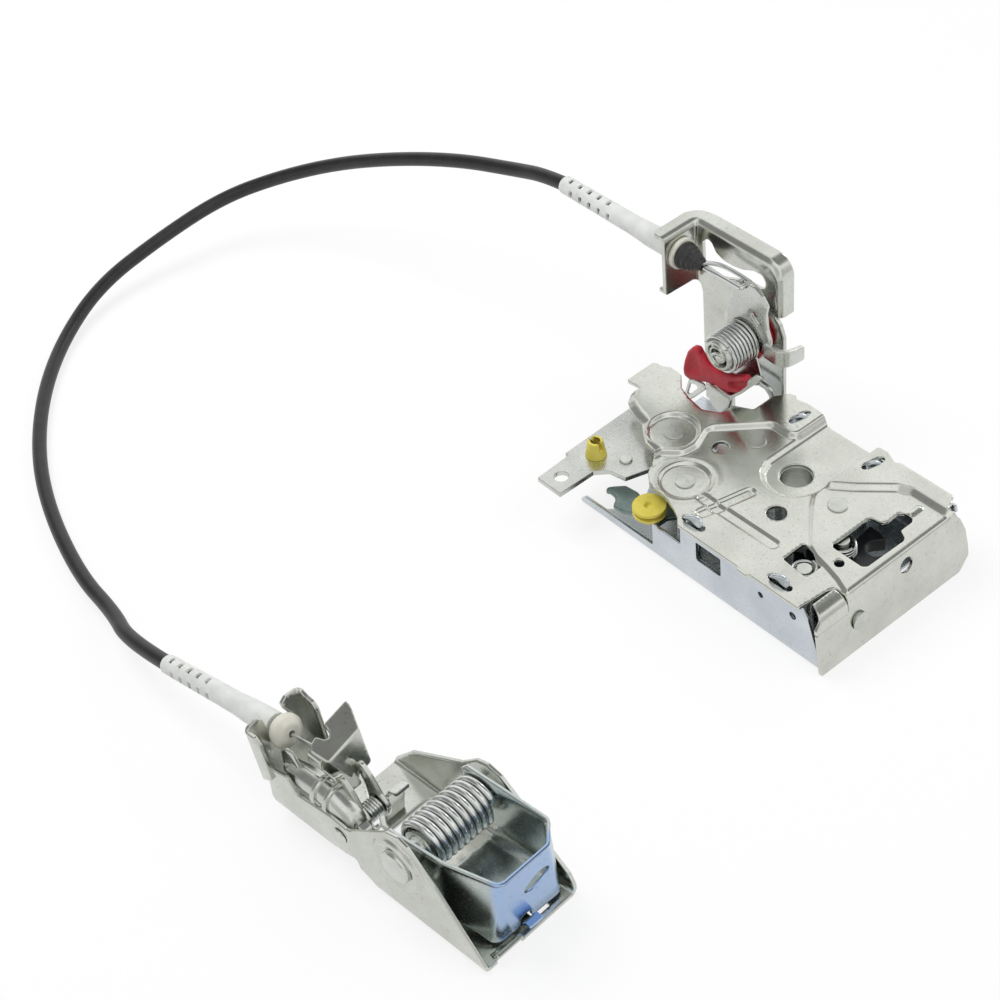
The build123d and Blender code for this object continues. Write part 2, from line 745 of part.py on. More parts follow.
def upper_wire():
    """Cable end: a shaft from the boot that forks round the lever's top."""
    left = head_left + 4
    fork_left = head_left + 23
    lever_middle = cable_lever_y + lever_t / 2
    half_gap = lever_t / 2 + 0.7 + eye_wire_r
    body = long_pin(cable_y, cable_z, 1.7, left, fork_left)
    rails = (lever_middle - half_gap, lever_middle + half_gap)
    for y in rails:
        body += long_pin(y, cable_z, eye_wire_r, fork_left - 1, barrel_x)
    body += Pos(fork_left, lever_middle - 0.7, cable_z) * Box(3, 2 * half_gap + 4.6, 3.4)
    body += cross_pin(barrel_x, cable_z, eye_wire_r, rails[0], rails[1])
    for y in rails:
        body += Pos(barrel_x, y, cable_z) * Sphere(eye_wire_r)
    return body


def rocker_profile():
    """Outline of the rocker, hollow towards the barrel's coil."""
    x, z = barrel_x, barrel_z
    left, right = (x - 19, z - 12), (x + 13.5, z - 9)
    hollow = ThreePointArc(left, (x - 5, z - 17.6), right)
    nose = ThreePointArc((x + 17, z - 18.5), (x + 19, z - 11), (x + 16, z - 8))
    outside = Polyline(
        left, (x - 25, z - 11.5), (x - 28, z - 15), (x - 32, z - 28), (x - 32.5, z - 33), (x - 31, z - 35),
        (x - 20, z - 33.5), (x + 2, z - 26.5), (x + 17, z - 18.5),
    )
    return make_face([hollow, Line(right, (x + 16, z - 8)), nose, outside])


def red_rocker():
    """Moulded rocker under the coil, with its ring on the barrel."""
    x, z = barrel_x, barrel_z
    body = Pos(0, rocker_y, 0) * extrude(Plane.XZ * rocker_profile(), rocker_depth, dir=(0, 1, 0))
    body -= upright_strap((x + 6, z - 17.5), (x + 13.5, z - 14), 2.6, rocker_y - 1, 5)
    ring_front = rocker_y + rocker_depth
    neck = [(x - 9, z - 12), (x + 9, z - 12), (x + 12, z - 20), (x - 10, z - 23)]
    body += upright(neck, ring_front, 2.2)
    body += cross_pin(x, z, hub_r, ring_front + 0.4, ring_front + 2.2)
    body -= cross_pin(x, z, barrel_r + play, ring_front, ring_front + 3)
    return body


def rocker_carrier():
    """Sheet-metal lever that carries the rocker, with its bent flange and leg."""
    x, z = barrel_x, barrel_z
    hub_front = rocker_y + rocker_depth + 2.5
    shelf_front = rocker_y - 5
    body = upright(
        [
            (x - 11, z - 5), (x + 11, z - 5), (x + 15, z - 17), (x + 12, z - 26.8), (x - 8, z - 32.6),
            (x - 11, z - 20),
        ],
        hub_front, carrier_t,
    )
    body += cross_pin(x, z, hub_r, hub_front, hub_front + carrier_t)
    body -= cross_pin(x, z, barrel_r + play, hub_front - 1, hub_front + carrier_t + 1)
    shelf = [(x - 8, z - 30.8), (x + 12, z - 25), (x + 12, z - 26.8), (x - 8, z - 32.6)]
    body += upright(shelf, shelf_front, hub_front + carrier_t - shelf_front)
    lip = [(x - 8, z - 31), (x + 12, z - 25.2), (x + 11.4, z - 30), (x + 7, z - 31), (x + 2.5, z - 36), (x, z - 37), (x - 8, z - 35)]
    body += upright(lip, shelf_front, carrier_t)
    leg = [(x - 8, z - 31.4), (x - 8, z - 35), (x - 14, z - 37), (x - 17, z - 47), (x - 21, z - 46), (x - 18, z - 34)]
    body += upright(leg, shelf_front, carrier_t)
    return body


# The cable


def upper_ferrule():
    """Moulded ferrule, snapped through the bracket's cable flange."""
    left = head_left - bracket_t
    body = long_pin(cable_y, cable_z, ferrule_r - 1, left, head_left)
    body += long_pin(cable_y, cable_z, ferrule_r + 1.4, head_left, head_left + 3)
    return body - long_pin(cable_y, cable_z, 2.2, left - 1, head_left + 4)


def rubber_boot():
    """Ribbed boot over the cable's mouth, with its nozzle."""
    radii = ((0.0, 7.2), (4.0, 7.6), (5.5, 6.6), (7.0, 7.0), (9.5, 4.6), (11.0, 4.4), (15.0, 3.2))
    profile = [(2.0, 0.0)] + [(r, along) for along, r in radii] + [(2.0, radii[-1][0])]
    body = revolve(Plane.XZ * face_of(profile), Axis.Z)
    return Pos(head_left + 3, cable_y, cable_z) * Rot(0, 90, 0) * body


def relief_body(length):
    """Strain relief along z: a plain collar, then a slotted taper."""
    profile = [
        (0, 0), (relief_r, 0), (relief_r, length * 0.28), (relief_tip_r + 0.2, length * 0.34),
        (relief_tip_r + 0.6, length * 0.36), (relief_tip_r, length), (0, length),
    ]
    body = revolve(Plane.XZ * face_of(profile), Axis.Z)
    pitch = length * 0.115
    for row in range(5):
        along = length * 0.43 + row * pitch
        for side in (0, 90):
            slot = Pos(relief_tip_r + 0.2, 0, along) * Box(1.8, 5.0, 1.6)
            body -= Rot(0, 0, 45 + side) * slot
            body -= Rot(0, 0, 225 + side) * slot
    return body


def upper_strain_relief():
    """Strain relief behind the bracket."""
    start = head_left - bracket_t
    return Pos(start, cable_y, cable_z) * Rot(0, -90, 0) * relief_body(relief_length)


def fork_place():
    """Place whose x axis runs along the cable where it meets the latch."""
    return latch_place() * Pos(fork_u, fork_v, fork_z) * Rot(0, -cable_rise, 0)


def lower_strain_relief():
    """Strain relief behind the second latch's fork plate."""
    return fork_place() * Pos(-fork_t, 0, 0) * Rot(0, -90, 0) * relief_body(relief_length)


def conduit_points():
    """Route of the cable's outer sheath from one strain relief to the other."""
    start = (head_left - bracket_t - relief_length, cable_y, cable_z)
    end = fork_place() * Pos(-fork_t - relief_length, 0, 0)
    before = fork_place() * Pos(-fork_t - relief_length - 42, 0, 0)
    return [
        start, (-246, cable_y, cable_z), (-292, 43.5, 101), (-340, 30.5, 84), (-384, 12.5, 63.5), (-418, -10, 43),
        (-441, -40, 26), (-451, -80, 13), (-445, -124, 6.2), (-423, -168, 4.8), (-389, -206, 4.6),
        (-347, -238, 4.6), (-299, -262, 4.8), (-250, -280, 6.5), (-210, -291, 10.0), tuple(before.position),
        tuple(end.position),
    ]


def bend_radii(points):
    """Largest tangent arc at each corner: 0.45 of the shorter run."""
    radii = []
    for before, at, after in zip(points, points[1:], points[2:]):
        run_in = Vector(*at) - Vector(*before)
        run_out = Vector(*after) - Vector(*at)
        turn = radians(run_in.get_angle(run_out))
        radii.append(0.45 * min(run_in.length, run_out.length) / tan(turn / 2))
    return radii


def conduit():
    """Outer sheath of the cable."""
    points = conduit_points()
    radii = bend_radii(points)
    path = FilletPolyline(*points, radius=radii)
    ring = Plane(origin=points[0], z_dir=path % 0) * Circle(conduit_d / 2)
    body = sweep(ring, path)
    print("bend radii", [round(r) for r in radii])
    section = pi * conduit_d**2 / 4
    print("conduit length", round(path.length, 1), "volume share", round(body.volume / (section * path.length), 4))
    return body


# The second latch


def latch_place():
    """Place of the second latch's own frame."""
    return Pos(latch_origin[0], latch_origin[1], 0) * Rot(0, 0, latch_heading)


def latch_wall(front):
    """Near side wall of the second latch, with the ear of the catch pin."""
    ear = [
        (0, 0), (-72, 0), (-83, 7.5), (-84.5, 14), (-101, 9.5), (-143.8, 9.2), (-143.4, 34),
        (-128, 38.5), (-122.5, 30), (-98, 33.5), (-88, 32.5), (-84, 34), (-66, 48), (-58, 54.5),
        (-50, 57.2), (-44, 55), (-31, 42), (-28.5, 39.5), (-28.5, 32.5), (0, 4),
    ]
    return upright(ear, front, sheet_t)


def far_latch_wall(front):
    """Far side wall of the second latch, lower at its left end."""
    ear = [
        (0, 0), (-122, 0), (-108, 19), (-71, 40), (-60, 50), (-52, 52.5), (-44, 50.5), (-31, 40),
        (-28.5, 37), (-28.5, 31), (-4, 12), (0, 12),
    ]
    return upright(ear, front, sheet_t)


def catch_base():
    """Base of the second latch, folded from one sheet."""
    floor = flat(
        [
            (0, 0), (0, 5), (-2, 5), (-2, 27), (0, 27), (0, latch_width), (-122, latch_width),
            (-122, 40), (-98, 24), (-84, 22), (-72, 0),
        ],
        0, sheet_t,
    )
    floor -= flat([(-92, 24), (-66, 24), (-66, 52), (-92, 52)], -1, 4, 3)
    floor -= post((-24, 30), 5.5, -1, 4)
    floor -= flat([(-10, 34), (-4, 34), (-4, 44), (-10, 44)], -1, 4)
    shelf = flat([(-143.8, 0), (-101, 0), (-101, 24), (-124, 40), (-143.8, 40)], 9.2, sheet_t)
    step = flat([(-125, 40), (-102, 24), (-97, 24), (-120, 40)], 0, 9.2 + sheet_t)
    body = floor + shelf + step
    body += latch_wall(0) + far_latch_wall(latch_width - sheet_t)
    lip = upright([(-1.8, 0), (0, 0), (0, 5.5), (-1.8, 5.5)], 27, latch_width - 27)
    tab = upright([(-4, 0), (1.5, 0), (1.5, 3), (-0.2, 6.4), (-2.0, 6.0), (-4, sheet_t)], 7, 17)
    inner_tab = endwise([(30, 0), (42, 0), (42, 20), (39, 24), (33, 24), (30, 20)], -98, sheet_t)
    body += lip + tab + inner_tab
    for v0, v1 in ((-1, 3), (latch_width - 3, latch_width + 1)):
        body -= cross_pin(catch_pin_u, catch_pin_z, catch_pin_r, v0, v1)
    body -= cross_pin(trigger_u, trigger_z, trigger_pin_r, -1, 3)
    return latch_place() * body


def cable_plate():
    """Fork plate that holds the cable's lower ferrule, leaning back."""
    outline = [
        (-12.4, -40), (22, -40), (22, -16), (21, 8), (17, 13), (9, 10), (7.0, 0), (-7.0, 0), (-8, 9),
        (-14, 11), (-17.3, 7), (-17.3, -18), (-12.4, -20),
    ]
    plate = endwise(outline, -fork_t, fork_t)
    plate -= long_pin(0, 0, lower_ferrule_r - 0.8, -5, 5)
    for y0, top in ((-17.3, 7), (20, 10)):
        plate += upright([(-fork_t, -18), (0, -18), (6, -12), (7.5, top - 3), (5, top), (-fork_t, top)], y0, 2)
    plate = fork_place() * plate
    shelf_top = 9.2 + sheet_t
    foot = latch_place() * flat([(-143.6, 2.4), (-122, 2.4), (-122, 37), (-143.6, 37)], shelf_top, fork_t)
    below = latch_place() * Pos(fork_u, fork_v, shelf_top - 20) * Box(80, 90, 40)
    return plate + foot - below


def catch_pin():
    """Main pin of the second latch, headed at both ends, with the coil's sleeve."""
    u, z = catch_pin_u, catch_pin_z
    body = cross_pin(u, z, catch_pin_r, -0.5, latch_width + 0.5)
    body += cross_pin(u, z, catch_head_r, -2.6, 0)
    body += cross_pin(u, z, catch_pin_r + 2.5, latch_width, latch_width + 2)
    sleeve_r = catch_coil_mean_r - catch_coil_wire / 2 - seat_gap
    coil_end = catch_coil_start + catch_coil_turns * catch_coil_wire
    body += cross_pin(u, z, sleeve_r, catch_coil_start, coil_end)
    return latch_place() * body


def cup_faces():
    """Foot and rim outlines of the cup's outside."""
    far = latch_width
    foot = [(-64, 4.5), (-30, 5.5), (-6, 13), (-5.5, far - 7), (-9, far - 3.8), (-64, far - 4.5)]
    rim = [(-64, 4.5), (-30, 7.5), (-3, 15.5), (-3, far - 15), (-12, far - 4.5), (-64, far - 6.5)]
    return foot, rim


def cup_shell(inset):
    """Tapered block of the cup, inset by a wall."""
    faces = []
    for outline, z in zip(cup_faces(), (cup_foot_z, rim_z)):
        face = face_of(outline)
        faces.append(Pos(0, 0, z) * (offset(face, -inset) if inset else face).faces()[0])
    return loft(faces, ruled=True)


def catch_cup():
    """Deep cup lever that takes the striker, turning on the main pin."""
    outer = cup_shell(0)
    hollow = cup_shell(sheet_t)
    above = Pos(-30, 30, cup_floor_z + 50) * Box(200, 200, 100)
    below = Pos(-30, 30, cup_floor_z - sheet_t - 50) * Box(200, 200, 100)
    body = outer - (hollow & above) - (hollow & below)
    middle = latch_width / 2
    body -= Pos(-71, middle, 30) * Box(20, latch_width - 12, 80)
    body -= upright([(-80, -5), (-8, -5), (-8, 8), (-34, 12), (-62, 25), (-80, 25)], -5, latch_width + 14)
    body -= Pos(-60, middle, cup_floor_z) * Box(24, latch_width - 15, 8)
    for v0, v1 in ((0, 10), (latch_width - 11, latch_width - 1)):
        body -= cross_pin(catch_pin_u, catch_pin_z, catch_pin_r + play, v0, v1)
    body -= Pos(-3, middle + 0.5, 31) * Rot(14, 0, 0) * Box(14, 13, 4.2)
    body -= Pos(-5, middle - 0.5, 6) * Box(14, 5, 9)
    return latch_place() * body


def catch_spring():
    """Torsion spring of the cup, wound round the main pin."""
    body = Rot(-90, 0, 0) * coil(catch_coil_mean_r, catch_coil_wire, catch_coil_turns)
    return latch_place() * Pos(catch_pin_u, catch_coil_start, catch_pin_z) * body


def trigger_pin():
    """Pivot of the trigger, riveted in the near wall."""
    body = cross_pin(trigger_u, trigger_z, trigger_pin_r, 0, 29)
    body += cross_pin(trigger_u, trigger_z, 4.6, -1.3, 0)
    return latch_place() * body


def trigger_lever():
    """Release trigger with its thumb tab and the slotted hook for the cable."""
    u, z = trigger_u, trigger_z
    web = upright([(-98.5, 34), (-96.2, 35), (-109, 60), (-111.3, 59)], 12, 22)
    tab = upright([(-107.6, 53.5), (-105.4, 54.5), (-113.8, 71.6), (-116, 70.5)], 10, 25)
    fold = upright([(-111.3, 59), (-109, 60), (-107.5, 58.6), (-107, 54.6), (-109.3, 55.5)], 12, 22)
    cheek = [
        (u - 7, z + 1), (u - 8, z + 9), (-103, 43), (-98, 37), (u + 2, z + 8), (u + 7, z + 3), (u + 6, z - 5),
        (u - 3, z - 6.4),
    ]
    body = web + tab + fold + upright(cheek, 12, lever_t) + upright(cheek, 24, lever_t)
    for v0 in (12, 24):
        body += cross_pin(u, z, 7.0, v0, v0 + lever_t)
    hook = endwise([(9, 46), (21, 46), (21, 58), (16.6, 58), (16.6, 49), (13.4, 49), (13.4, 58), (9, 58)], -118.5, 2)
    for v0 in (9, 19):
        hook += upright([(-118.5, 46), (-105, 46), (-108, 55), (-118.5, 57)], v0, 2)
    body += hook
    body -= cross_pin(u, z, trigger_pin_r + play, 0, 50)
    return latch_place() * body


def holding_arm():
    """Arched holding arm beside the trigger, ending over the catch."""
    u, z = trigger_u, trigger_z
    arch = Pos(0, 7, 21) * Rot(0, -90, 0) * Cylinder(4.5, 44)
    arch -= Pos(0, 7, 21) * Rot(0, -90, 0) * Cylinder(2.9, 60)
    arch &= Pos(0, 7, 27) * Box(60, 20, 12)
    body = Pos(-118, 0, 0) * arch
    body += upright([(-98, 20), (-86, 18), (-82, 26), (-78, 36), (-75, 33), (-79, 24), (-86, 16), (-96, 16)], 6, lever_t)
    body += cross_pin(u, z, 7.0, 4.4, 11.6)
    body -= cross_pin(u, z, trigger_pin_r + play, 0, 20)
    return latch_place() * body


def lower_ferrule():
    """Moulded ferrule in the fork plate."""
    radius = lower_ferrule_r
    body = long_pin(0, 0, radius - 0.8, -fork_t, 0.4) + long_pin(0, 0, radius, 0.4, 4.0)
    body += long_pin(0, 0, radius - 2.4, 4.0, 6.0)
    body -= long_pin(0, 0, wire_r + 0.3, -fork_t - 1, 7)
    return fork_place() * body


def lower_wire():
    """Bare cable end from the ferrule to the trigger's hook."""
    body = long_pin(0, 0, wire_r, wire_stroke + layer_gap - fork_t, 36)
    body += cross_pin(36, 0, 2.4, -3.4, 3.4)
    return fork_place() * body


def trigger_spring():
    """Small torsion spring on the trigger's pin."""
    body = Rot(-90, 0, 0) * coil(4.6, 1.6, 5)
    return latch_place() * Pos(trigger_u, 15.2, trigger_z) * body


cover_studs = {
    "release_stud": shouldered_stud(release_pivot, cover_top + raise_left - release_dish_depth, release_bottom),
    "lock_stud": shouldered_stud(lock_pivot, cover_top - lock_dish_depth, lock_lever_bottom),
    "transfer_stud": shouldered_stud(transfer_pivot, cover_top, transfer_bottom),
    "spacer_stud": shouldered_stud(spacer_at, cover_top + raise_right, wall_height),
}
blind_studs = {
    "claw_stud": blind_stud(claw_pivot, cover_top + raise_right - sheet_t - 1, claw_bottom),
    "pawl_stud": blind_stud(pawl_pivot, wall_height - 1, pawl_bottom),
}


def drill(body, places, low, high):
    """Cut stud holes through a plate."""
    for at in places:
        body -= post(at, stud_r, low, high)
    return body


through = (release_pivot, lock_pivot, transfer_pivot, spacer_at)
claw_coil_bottom = claw_bottom + claw_t + layer_gap
pawl_coil_bottom = pawl_bottom + pawl_t + layer_gap
parts = {
    "base_housing": drill(base_housing(), through + (claw_pivot, pawl_pivot), -1, sheet_t + 1),
    "cover_plate": drill(cover_plate(), through, wall_height - 2, cover_top + 8),
    "fixing_tube": fixing_tube(),
    **cover_studs,
    **blind_studs,
    "claw": claw(),
    "claw_spring": lock_coil(claw_pivot, 7.0, 2.0, 3, claw_coil_bottom),
    "pawl": pawl(),
    "pawl_spring": lock_coil(pawl_pivot, 6.2, 1.7, 5, pawl_coil_bottom),
    "pawl_link": pawl_link(),
    "transfer_lever": transfer_lever(),
    "release_lever": release_lever(),
    "rod_clip": rod_clip(),
    "lever_rivet": lever_rivet(),
    "lock_lever": lock_lever(),
    "lock_knob": lock_knob(),
    "face_plug": face_plug(),
    "cable_bracket": cable_bracket(),
    "bracket_barrel": bracket_barrel(),
    "front_coil": front_coil(),
    "rear_coil": rear_coil(),
    "rear_collar": rear_collar(),
    "cable_lever": cable_lever(),
    "upper_wire": upper_wire(),
    "red_rocker": red_rocker(),
    "rocker_carrier": rocker_carrier(),
    "upper_ferrule": upper_ferrule(),
    "rubber_boot": rubber_boot(),
    "upper_strain_relief": upper_strain_relief(),
    "conduit": conduit(),
    "lower_strain_relief": lower_strain_relief(),
    "lower_ferrule": lower_ferrule(),
    "lower_wire": lower_wire(),
    "cable_plate": cable_plate(),
    "catch_base": catch_base(),
    "catch_pin": catch_pin(),
    "catch_cup": catch_cup(),
    "catch_spring": catch_spring(),
    "trigger_pin": trigger_pin(),
    "trigger_lever": trigger_lever(),
    "trigger_spring": trigger_spring(),
    "holding_arm": holding_arm(),
}

os.makedirs("parts", exist_ok=True)
for name, shape in parts.items():
    export_step(shape, f"parts/{name}.step")
print(len(parts), "nodes written")
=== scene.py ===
import json
from math import cos, pi, radians, sin, tan

import bmesh
import bpy
import numpy as np
from mathutils import Matrix, Vector
from mathutils.geometry import delaunay_2d_cdt

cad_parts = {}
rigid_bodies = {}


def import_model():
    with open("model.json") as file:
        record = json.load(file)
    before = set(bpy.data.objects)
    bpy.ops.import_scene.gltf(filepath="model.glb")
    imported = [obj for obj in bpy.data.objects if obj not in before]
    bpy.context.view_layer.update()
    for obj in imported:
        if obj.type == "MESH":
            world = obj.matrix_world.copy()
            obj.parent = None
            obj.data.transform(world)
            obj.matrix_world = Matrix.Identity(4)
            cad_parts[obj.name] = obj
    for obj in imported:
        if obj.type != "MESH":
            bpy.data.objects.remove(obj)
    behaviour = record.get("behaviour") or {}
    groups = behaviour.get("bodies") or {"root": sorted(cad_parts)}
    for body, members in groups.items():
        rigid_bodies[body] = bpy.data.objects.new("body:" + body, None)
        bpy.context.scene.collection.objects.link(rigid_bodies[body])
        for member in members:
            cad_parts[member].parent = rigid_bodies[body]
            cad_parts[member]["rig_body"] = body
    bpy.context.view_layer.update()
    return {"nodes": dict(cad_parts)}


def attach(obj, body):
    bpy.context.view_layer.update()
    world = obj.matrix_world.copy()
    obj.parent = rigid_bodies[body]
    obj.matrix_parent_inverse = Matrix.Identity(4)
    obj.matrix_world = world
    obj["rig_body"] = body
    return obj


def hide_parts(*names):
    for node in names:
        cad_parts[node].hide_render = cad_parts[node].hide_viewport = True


# Door latch: a lock case with its cable bracket, and a second latch at the far end of the cable.
# Lengths in the piece dictionaries are millimetres in the CAD frame; meshes are written in metres.

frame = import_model()
print("frame loaded,", len(frame["nodes"]), "nodes")


# camera as solved from the photograph
cameraSpec = {"azimuth": 53.7, "elevation": 42.9, "roll": -6.63, "at": (0.5994, -0.6152, 0.8438), "lens": 81.0}


def makeCamera(spec):
    a, e, r = (radians(spec[k]) for k in ("azimuth", "elevation", "roll"))
    back = Vector((sin(a) * cos(e), -cos(a) * cos(e), sin(e)))
    side = Vector((cos(a), sin(a), 0))
    rise = back.cross(side)
    right = cos(r) * side + sin(r) * rise
    up = cos(r) * rise - sin(r) * side
    camera = bpy.data.objects.new("camera", bpy.data.cameras.new("camera"))
    camera.data.lens = spec["lens"]
    camera.data.sensor_width = 36
    camera.data.clip_end = 20
    bpy.context.scene.collection.objects.link(camera)
    turned = Matrix((right, up, back)).transposed().to_4x4()
    camera.matrix_world = Matrix.Translation(spec["at"]) @ turned
    bpy.context.scene.camera = camera


makeCamera(cameraSpec)
bpy.context.scene.view_settings.view_transform = "Standard"


# materials


def toLinear(colour):
    channels = [int(colour[i:i + 2], 16) / 255 for i in (1, 3, 5)]
    return tuple(c / 12.92 if c <= 0.04045 else ((c + 0.055) / 1.055) ** 2.4 for c in channels) + (1.0,)


def addNode(tree, kind, sockets=None, **settings):
    node = tree.nodes.new(kind)
    for name, value in settings.items():
        setattr(node, name, value)
    for socket, value in (sockets or {}).items():
        if isinstance(value, bpy.types.NodeSocket):
            tree.links.new(value, node.inputs[socket])
        else:
            node.inputs[socket].default_value = value
    return node


def noiseOf(tree, where, size, detail=4.0, rough=0.55):
    # one noise whose features are size millimetres across
    sockets = {"Vector": where, "Scale": 1000 / size, "Detail": detail, "Roughness": rough}
    return addNode(tree, "ShaderNodeTexNoise", sockets).outputs["Fac"]


def spread(tree, fac, low, high, toLow, toHigh, way="LINEAR"):
    # stretches the values between low and high to another range
    sockets = {"Value": fac, "From Min": low, "From Max": high, "To Min": toLow, "To Max": toHigh}
    return addNode(tree, "ShaderNodeMapRange", sockets, interpolation_type=way).outputs["Result"]


def combine(tree, way, first, second):
    return addNode(tree, "ShaderNodeMath", {0: first, 1: second}, operation=way).outputs[0]


def alongOf(tree, where, direction):
    # how far a place lies along a direction
    node = addNode(tree, "ShaderNodeVectorMath", {0: where, 1: direction}, operation="DOT_PRODUCT")
    return node.outputs["Value"]


def blendOf(tree, fac, first, second):
    return addNode(tree, "ShaderNodeMix", {0: fac, 6: first, 7: second}, data_type="RGBA").outputs[2]


def startMaterial(name):
    material = bpy.data.materials.new(name)
    material.use_nodes = True
    tree = material.node_tree
    tree.nodes.clear()
    where = addNode(tree, "ShaderNodeTexCoord").outputs["Object"]
    return material, tree, where


def finishMaterial(tree, sockets, bump=None, reach=0.0, strength=0.3):
    if bump is not None:
        relief = {"Height": bump, "Distance": reach / 1000, "Strength": strength}
        sockets["Normal"] = addNode(tree, "ShaderNodeBump", relief).outputs["Normal"]
    shader = addNode(tree, "ShaderNodeBsdfPrincipled", sockets)
    addNode(tree, "ShaderNodeOutputMaterial", {"Surface": shader.outputs["BSDF"]})


def platedSteel(name, spec, tint):
    # Zinc-plated, passivated steel: a pale metal with a satin face, a fine crystal grain,
    # broad cloudy stains from the bath and small dull specks from handling.
    material, tree, where = startMaterial(name)
    cloud = spread(tree, noiseOf(tree, where, spec["cloud"], 3), 0.35, 0.65, 0, 1)
    grain = noiseOf(tree, where, spec["grain"], 5, 0.7)
    speck = spread(tree, noiseOf(tree, where, spec["speck"], 2), 0.62, 0.7, 0, 1)
    colour = blendOf(tree, cloud, toLinear(spec["colour"]), toLinear(spec["stain"]))
    grainShare = combine(tree, "MULTIPLY", spread(tree, grain, 0.3, 0.7, 0, 1), spec["grainTint"])
    colour = blendOf(tree, grainShare, colour, toLinear(spec["dark"]))
    if tint:
        # a soft step of the place along the tint's direction
        direction, low, high, hue = tint
        along = alongOf(tree, where, direction)
        colour = blendOf(tree, spread(tree, along, low / 1000, high / 1000, 0, 1), colour, toLinear(hue))
    speckShare = combine(tree, "MULTIPLY", speck, 0.25)
    colour = blendOf(tree, speckShare, colour, toLinear(spec["dark"]))
    rough = spread(tree, grain, 0.3, 0.7, spec["rough"] - 0.05, spec["rough"] + 0.07)
    sockets = {"Base Color": colour, "Metallic": 1.0, "Roughness": rough}
    finishMaterial(tree, sockets, grain, spec["relief"], 0.35)
    return material


def drawnWire(name, spec):
    # Drawn spring wire: brighter than the sheet, with fine lengthwise scratches that read as a soft grain.
    material, tree, where = startMaterial(name)
    grain = noiseOf(tree, where, 0.8, 4, 0.6)
    stain = spread(tree, noiseOf(tree, where, 9, 3), 0.4, 0.65, 0, 0.6)
    colour = blendOf(tree, stain, toLinear(spec["colour"]), toLinear(spec["dark"]))
    rough = spread(tree, grain, 0.3, 0.7, spec["rough"] - 0.04, spec["rough"] + 0.08)
    finishMaterial(tree, {"Base Color": colour, "Metallic": 1.0, "Roughness": rough}, grain, 0.02, 0.3)
    return material


def mouldedPlastic(name, spec):
    # Injection-moulded plastic: one colour with faint flow marks and the fine texture of the mould.
    material, tree, where = startMaterial(name)
    flow = spread(tree, noiseOf(tree, where, 7, 2), 0.35, 0.65, 0, 1)
    skin = noiseOf(tree, where, 0.6, 3, 0.6)
    colour = blendOf(tree, flow, toLinear(spec["colour"]), toLinear(spec["shade"]))
    rough = spread(tree, skin, 0.3, 0.7, spec["rough"] - 0.05, spec["rough"] + 0.08)
    sockets = {"Base Color": colour, "Roughness": rough, "IOR": spec["ior"],
               "Specular IOR Level": spec.get("gloss", 0.5)}
    if "depth" in spec:
        sockets.update({"Subsurface Weight": 0.15, "Subsurface Radius": (1.0, 0.9, 0.8),
                        "Subsurface Scale": spec["depth"] / 1000})
    finishMaterial(tree, sockets, skin, 0.03, 0.25)
    return material


# zinc finishes: colours of the face, its stains and its grain, then the size in millimetres of cloud,
# grain and speck, the grain's share, the roughness and the relief
zincFinishes = {
    "zincSteel": ("zincPlatedSteel", "#DADCD4", "#CDCFC7", "#8E908A", 26, 0.9, 2.2, 0.16, 0.19, 0.05),
    "bracketSteel": ("zincPlatedBracketSteel", "#D6D8D2", "#C6C8C0", "#85877F", 30, 0.9, 2.5, 0.16, 0.2, 0.05),
    "wallZinc": ("clearPassivatedZinc", "#D9DEE2", "#C6CDD4", "#858D95", 34, 1.0, 2.4, 0.14, 0.27, 0.05),
    "cupZinc": ("bluePassivatedCupZinc", "#D0D6D3", "#BEC8C6", "#75827F", 20, 1.0, 2.4, 0.15, 0.22, 0.04),
    # painted shade: this zinc is darkened to stand for the shade that falls on the lock lever under the cover, not
    # for a colour of its metal
    "paintedShadeZinc": ("zincDarkenedForPaintedShade", "#8FA09B", "#7C8D8A", "#4E5B58", 18, 1.0, 2.4, 0.3, 0.34, 0.05),
    "leverSteel": ("zincPlatedLeverSteel", "#DADBD6", "#CACCC8", "#858A8C", 18, 0.9, 2.0, 0.14, 0.26, 0.05),
    "studSteel": ("turnedZincedStud", "#D8DAD5", "#C8CAC4", "#8A8C86", 12, 0.7, 1.6, 0.16, 0.22, 0.04),
}
finishParts = ("colour", "stain", "dark", "cloud", "grain", "speck", "grainTint", "rough", "relief")
# where the bath's blue gathers: a direction, the blue's start and full strength along it in
# millimetres, and the blue itself
tints = {"cupZinc": ((0.99692, 0.07846, 0.0), 69.5, 73.5, "#A3BBDD")}
materials = {}
for key, (name, *values) in zincFinishes.items():
    finish = dict(zip(finishParts, values))
    materials[key] = platedSteel(name, finish, tints.get(key))
materials.update({
    "springSteel": drawnWire("drawnSpringSteel", {"colour": "#DCDEDC", "dark": "#B4B7B6", "rough": 0.2}),
    "blackCoat": mouldedPlastic(
        "mouldedBlackNylonCoat", {"colour": "#17191B", "shade": "#212427", "rough": 0.36, "ior": 1.5}),
    "yellowPlastic": mouldedPlastic(
        "yellowAcetal", {"colour": "#DED060", "shade": "#D4C44C", "rough": 0.42, "ior": 1.48, "depth": 1.5}),
    "redPlastic": mouldedPlastic(
        "redAcetal", {"colour": "#C42E3D", "shade": "#B42636", "rough": 0.42, "ior": 1.48, "depth": 0.6}),
    "blackRubber": mouldedPlastic(
        "mouldedRubber", {"colour": "#262726", "shade": "#313231", "rough": 0.46, "ior": 1.5}),
    "blackSheath": mouldedPlastic(
        "extrudedVinylSheath", {"colour": "#1A1A1B", "shade": "#222223", "rough": 0.36, "ior": 1.5}),
    "whiteNylon": mouldedPlastic("naturalNylon", {
        "colour": "#DFE1DE", "shade": "#D4D6D3", "rough": 0.4, "ior": 1.5, "gloss": 0.35, "depth": 1.2}),
    "creamNylon": mouldedPlastic("agedNylon", {
        "colour": "#E2E0D4", "shade": "#D6D4C7", "rough": 0.38, "ior": 1.5, "gloss": 0.4, "depth": 1.5}),
})
print("materials made")


# light, floor and backdrop


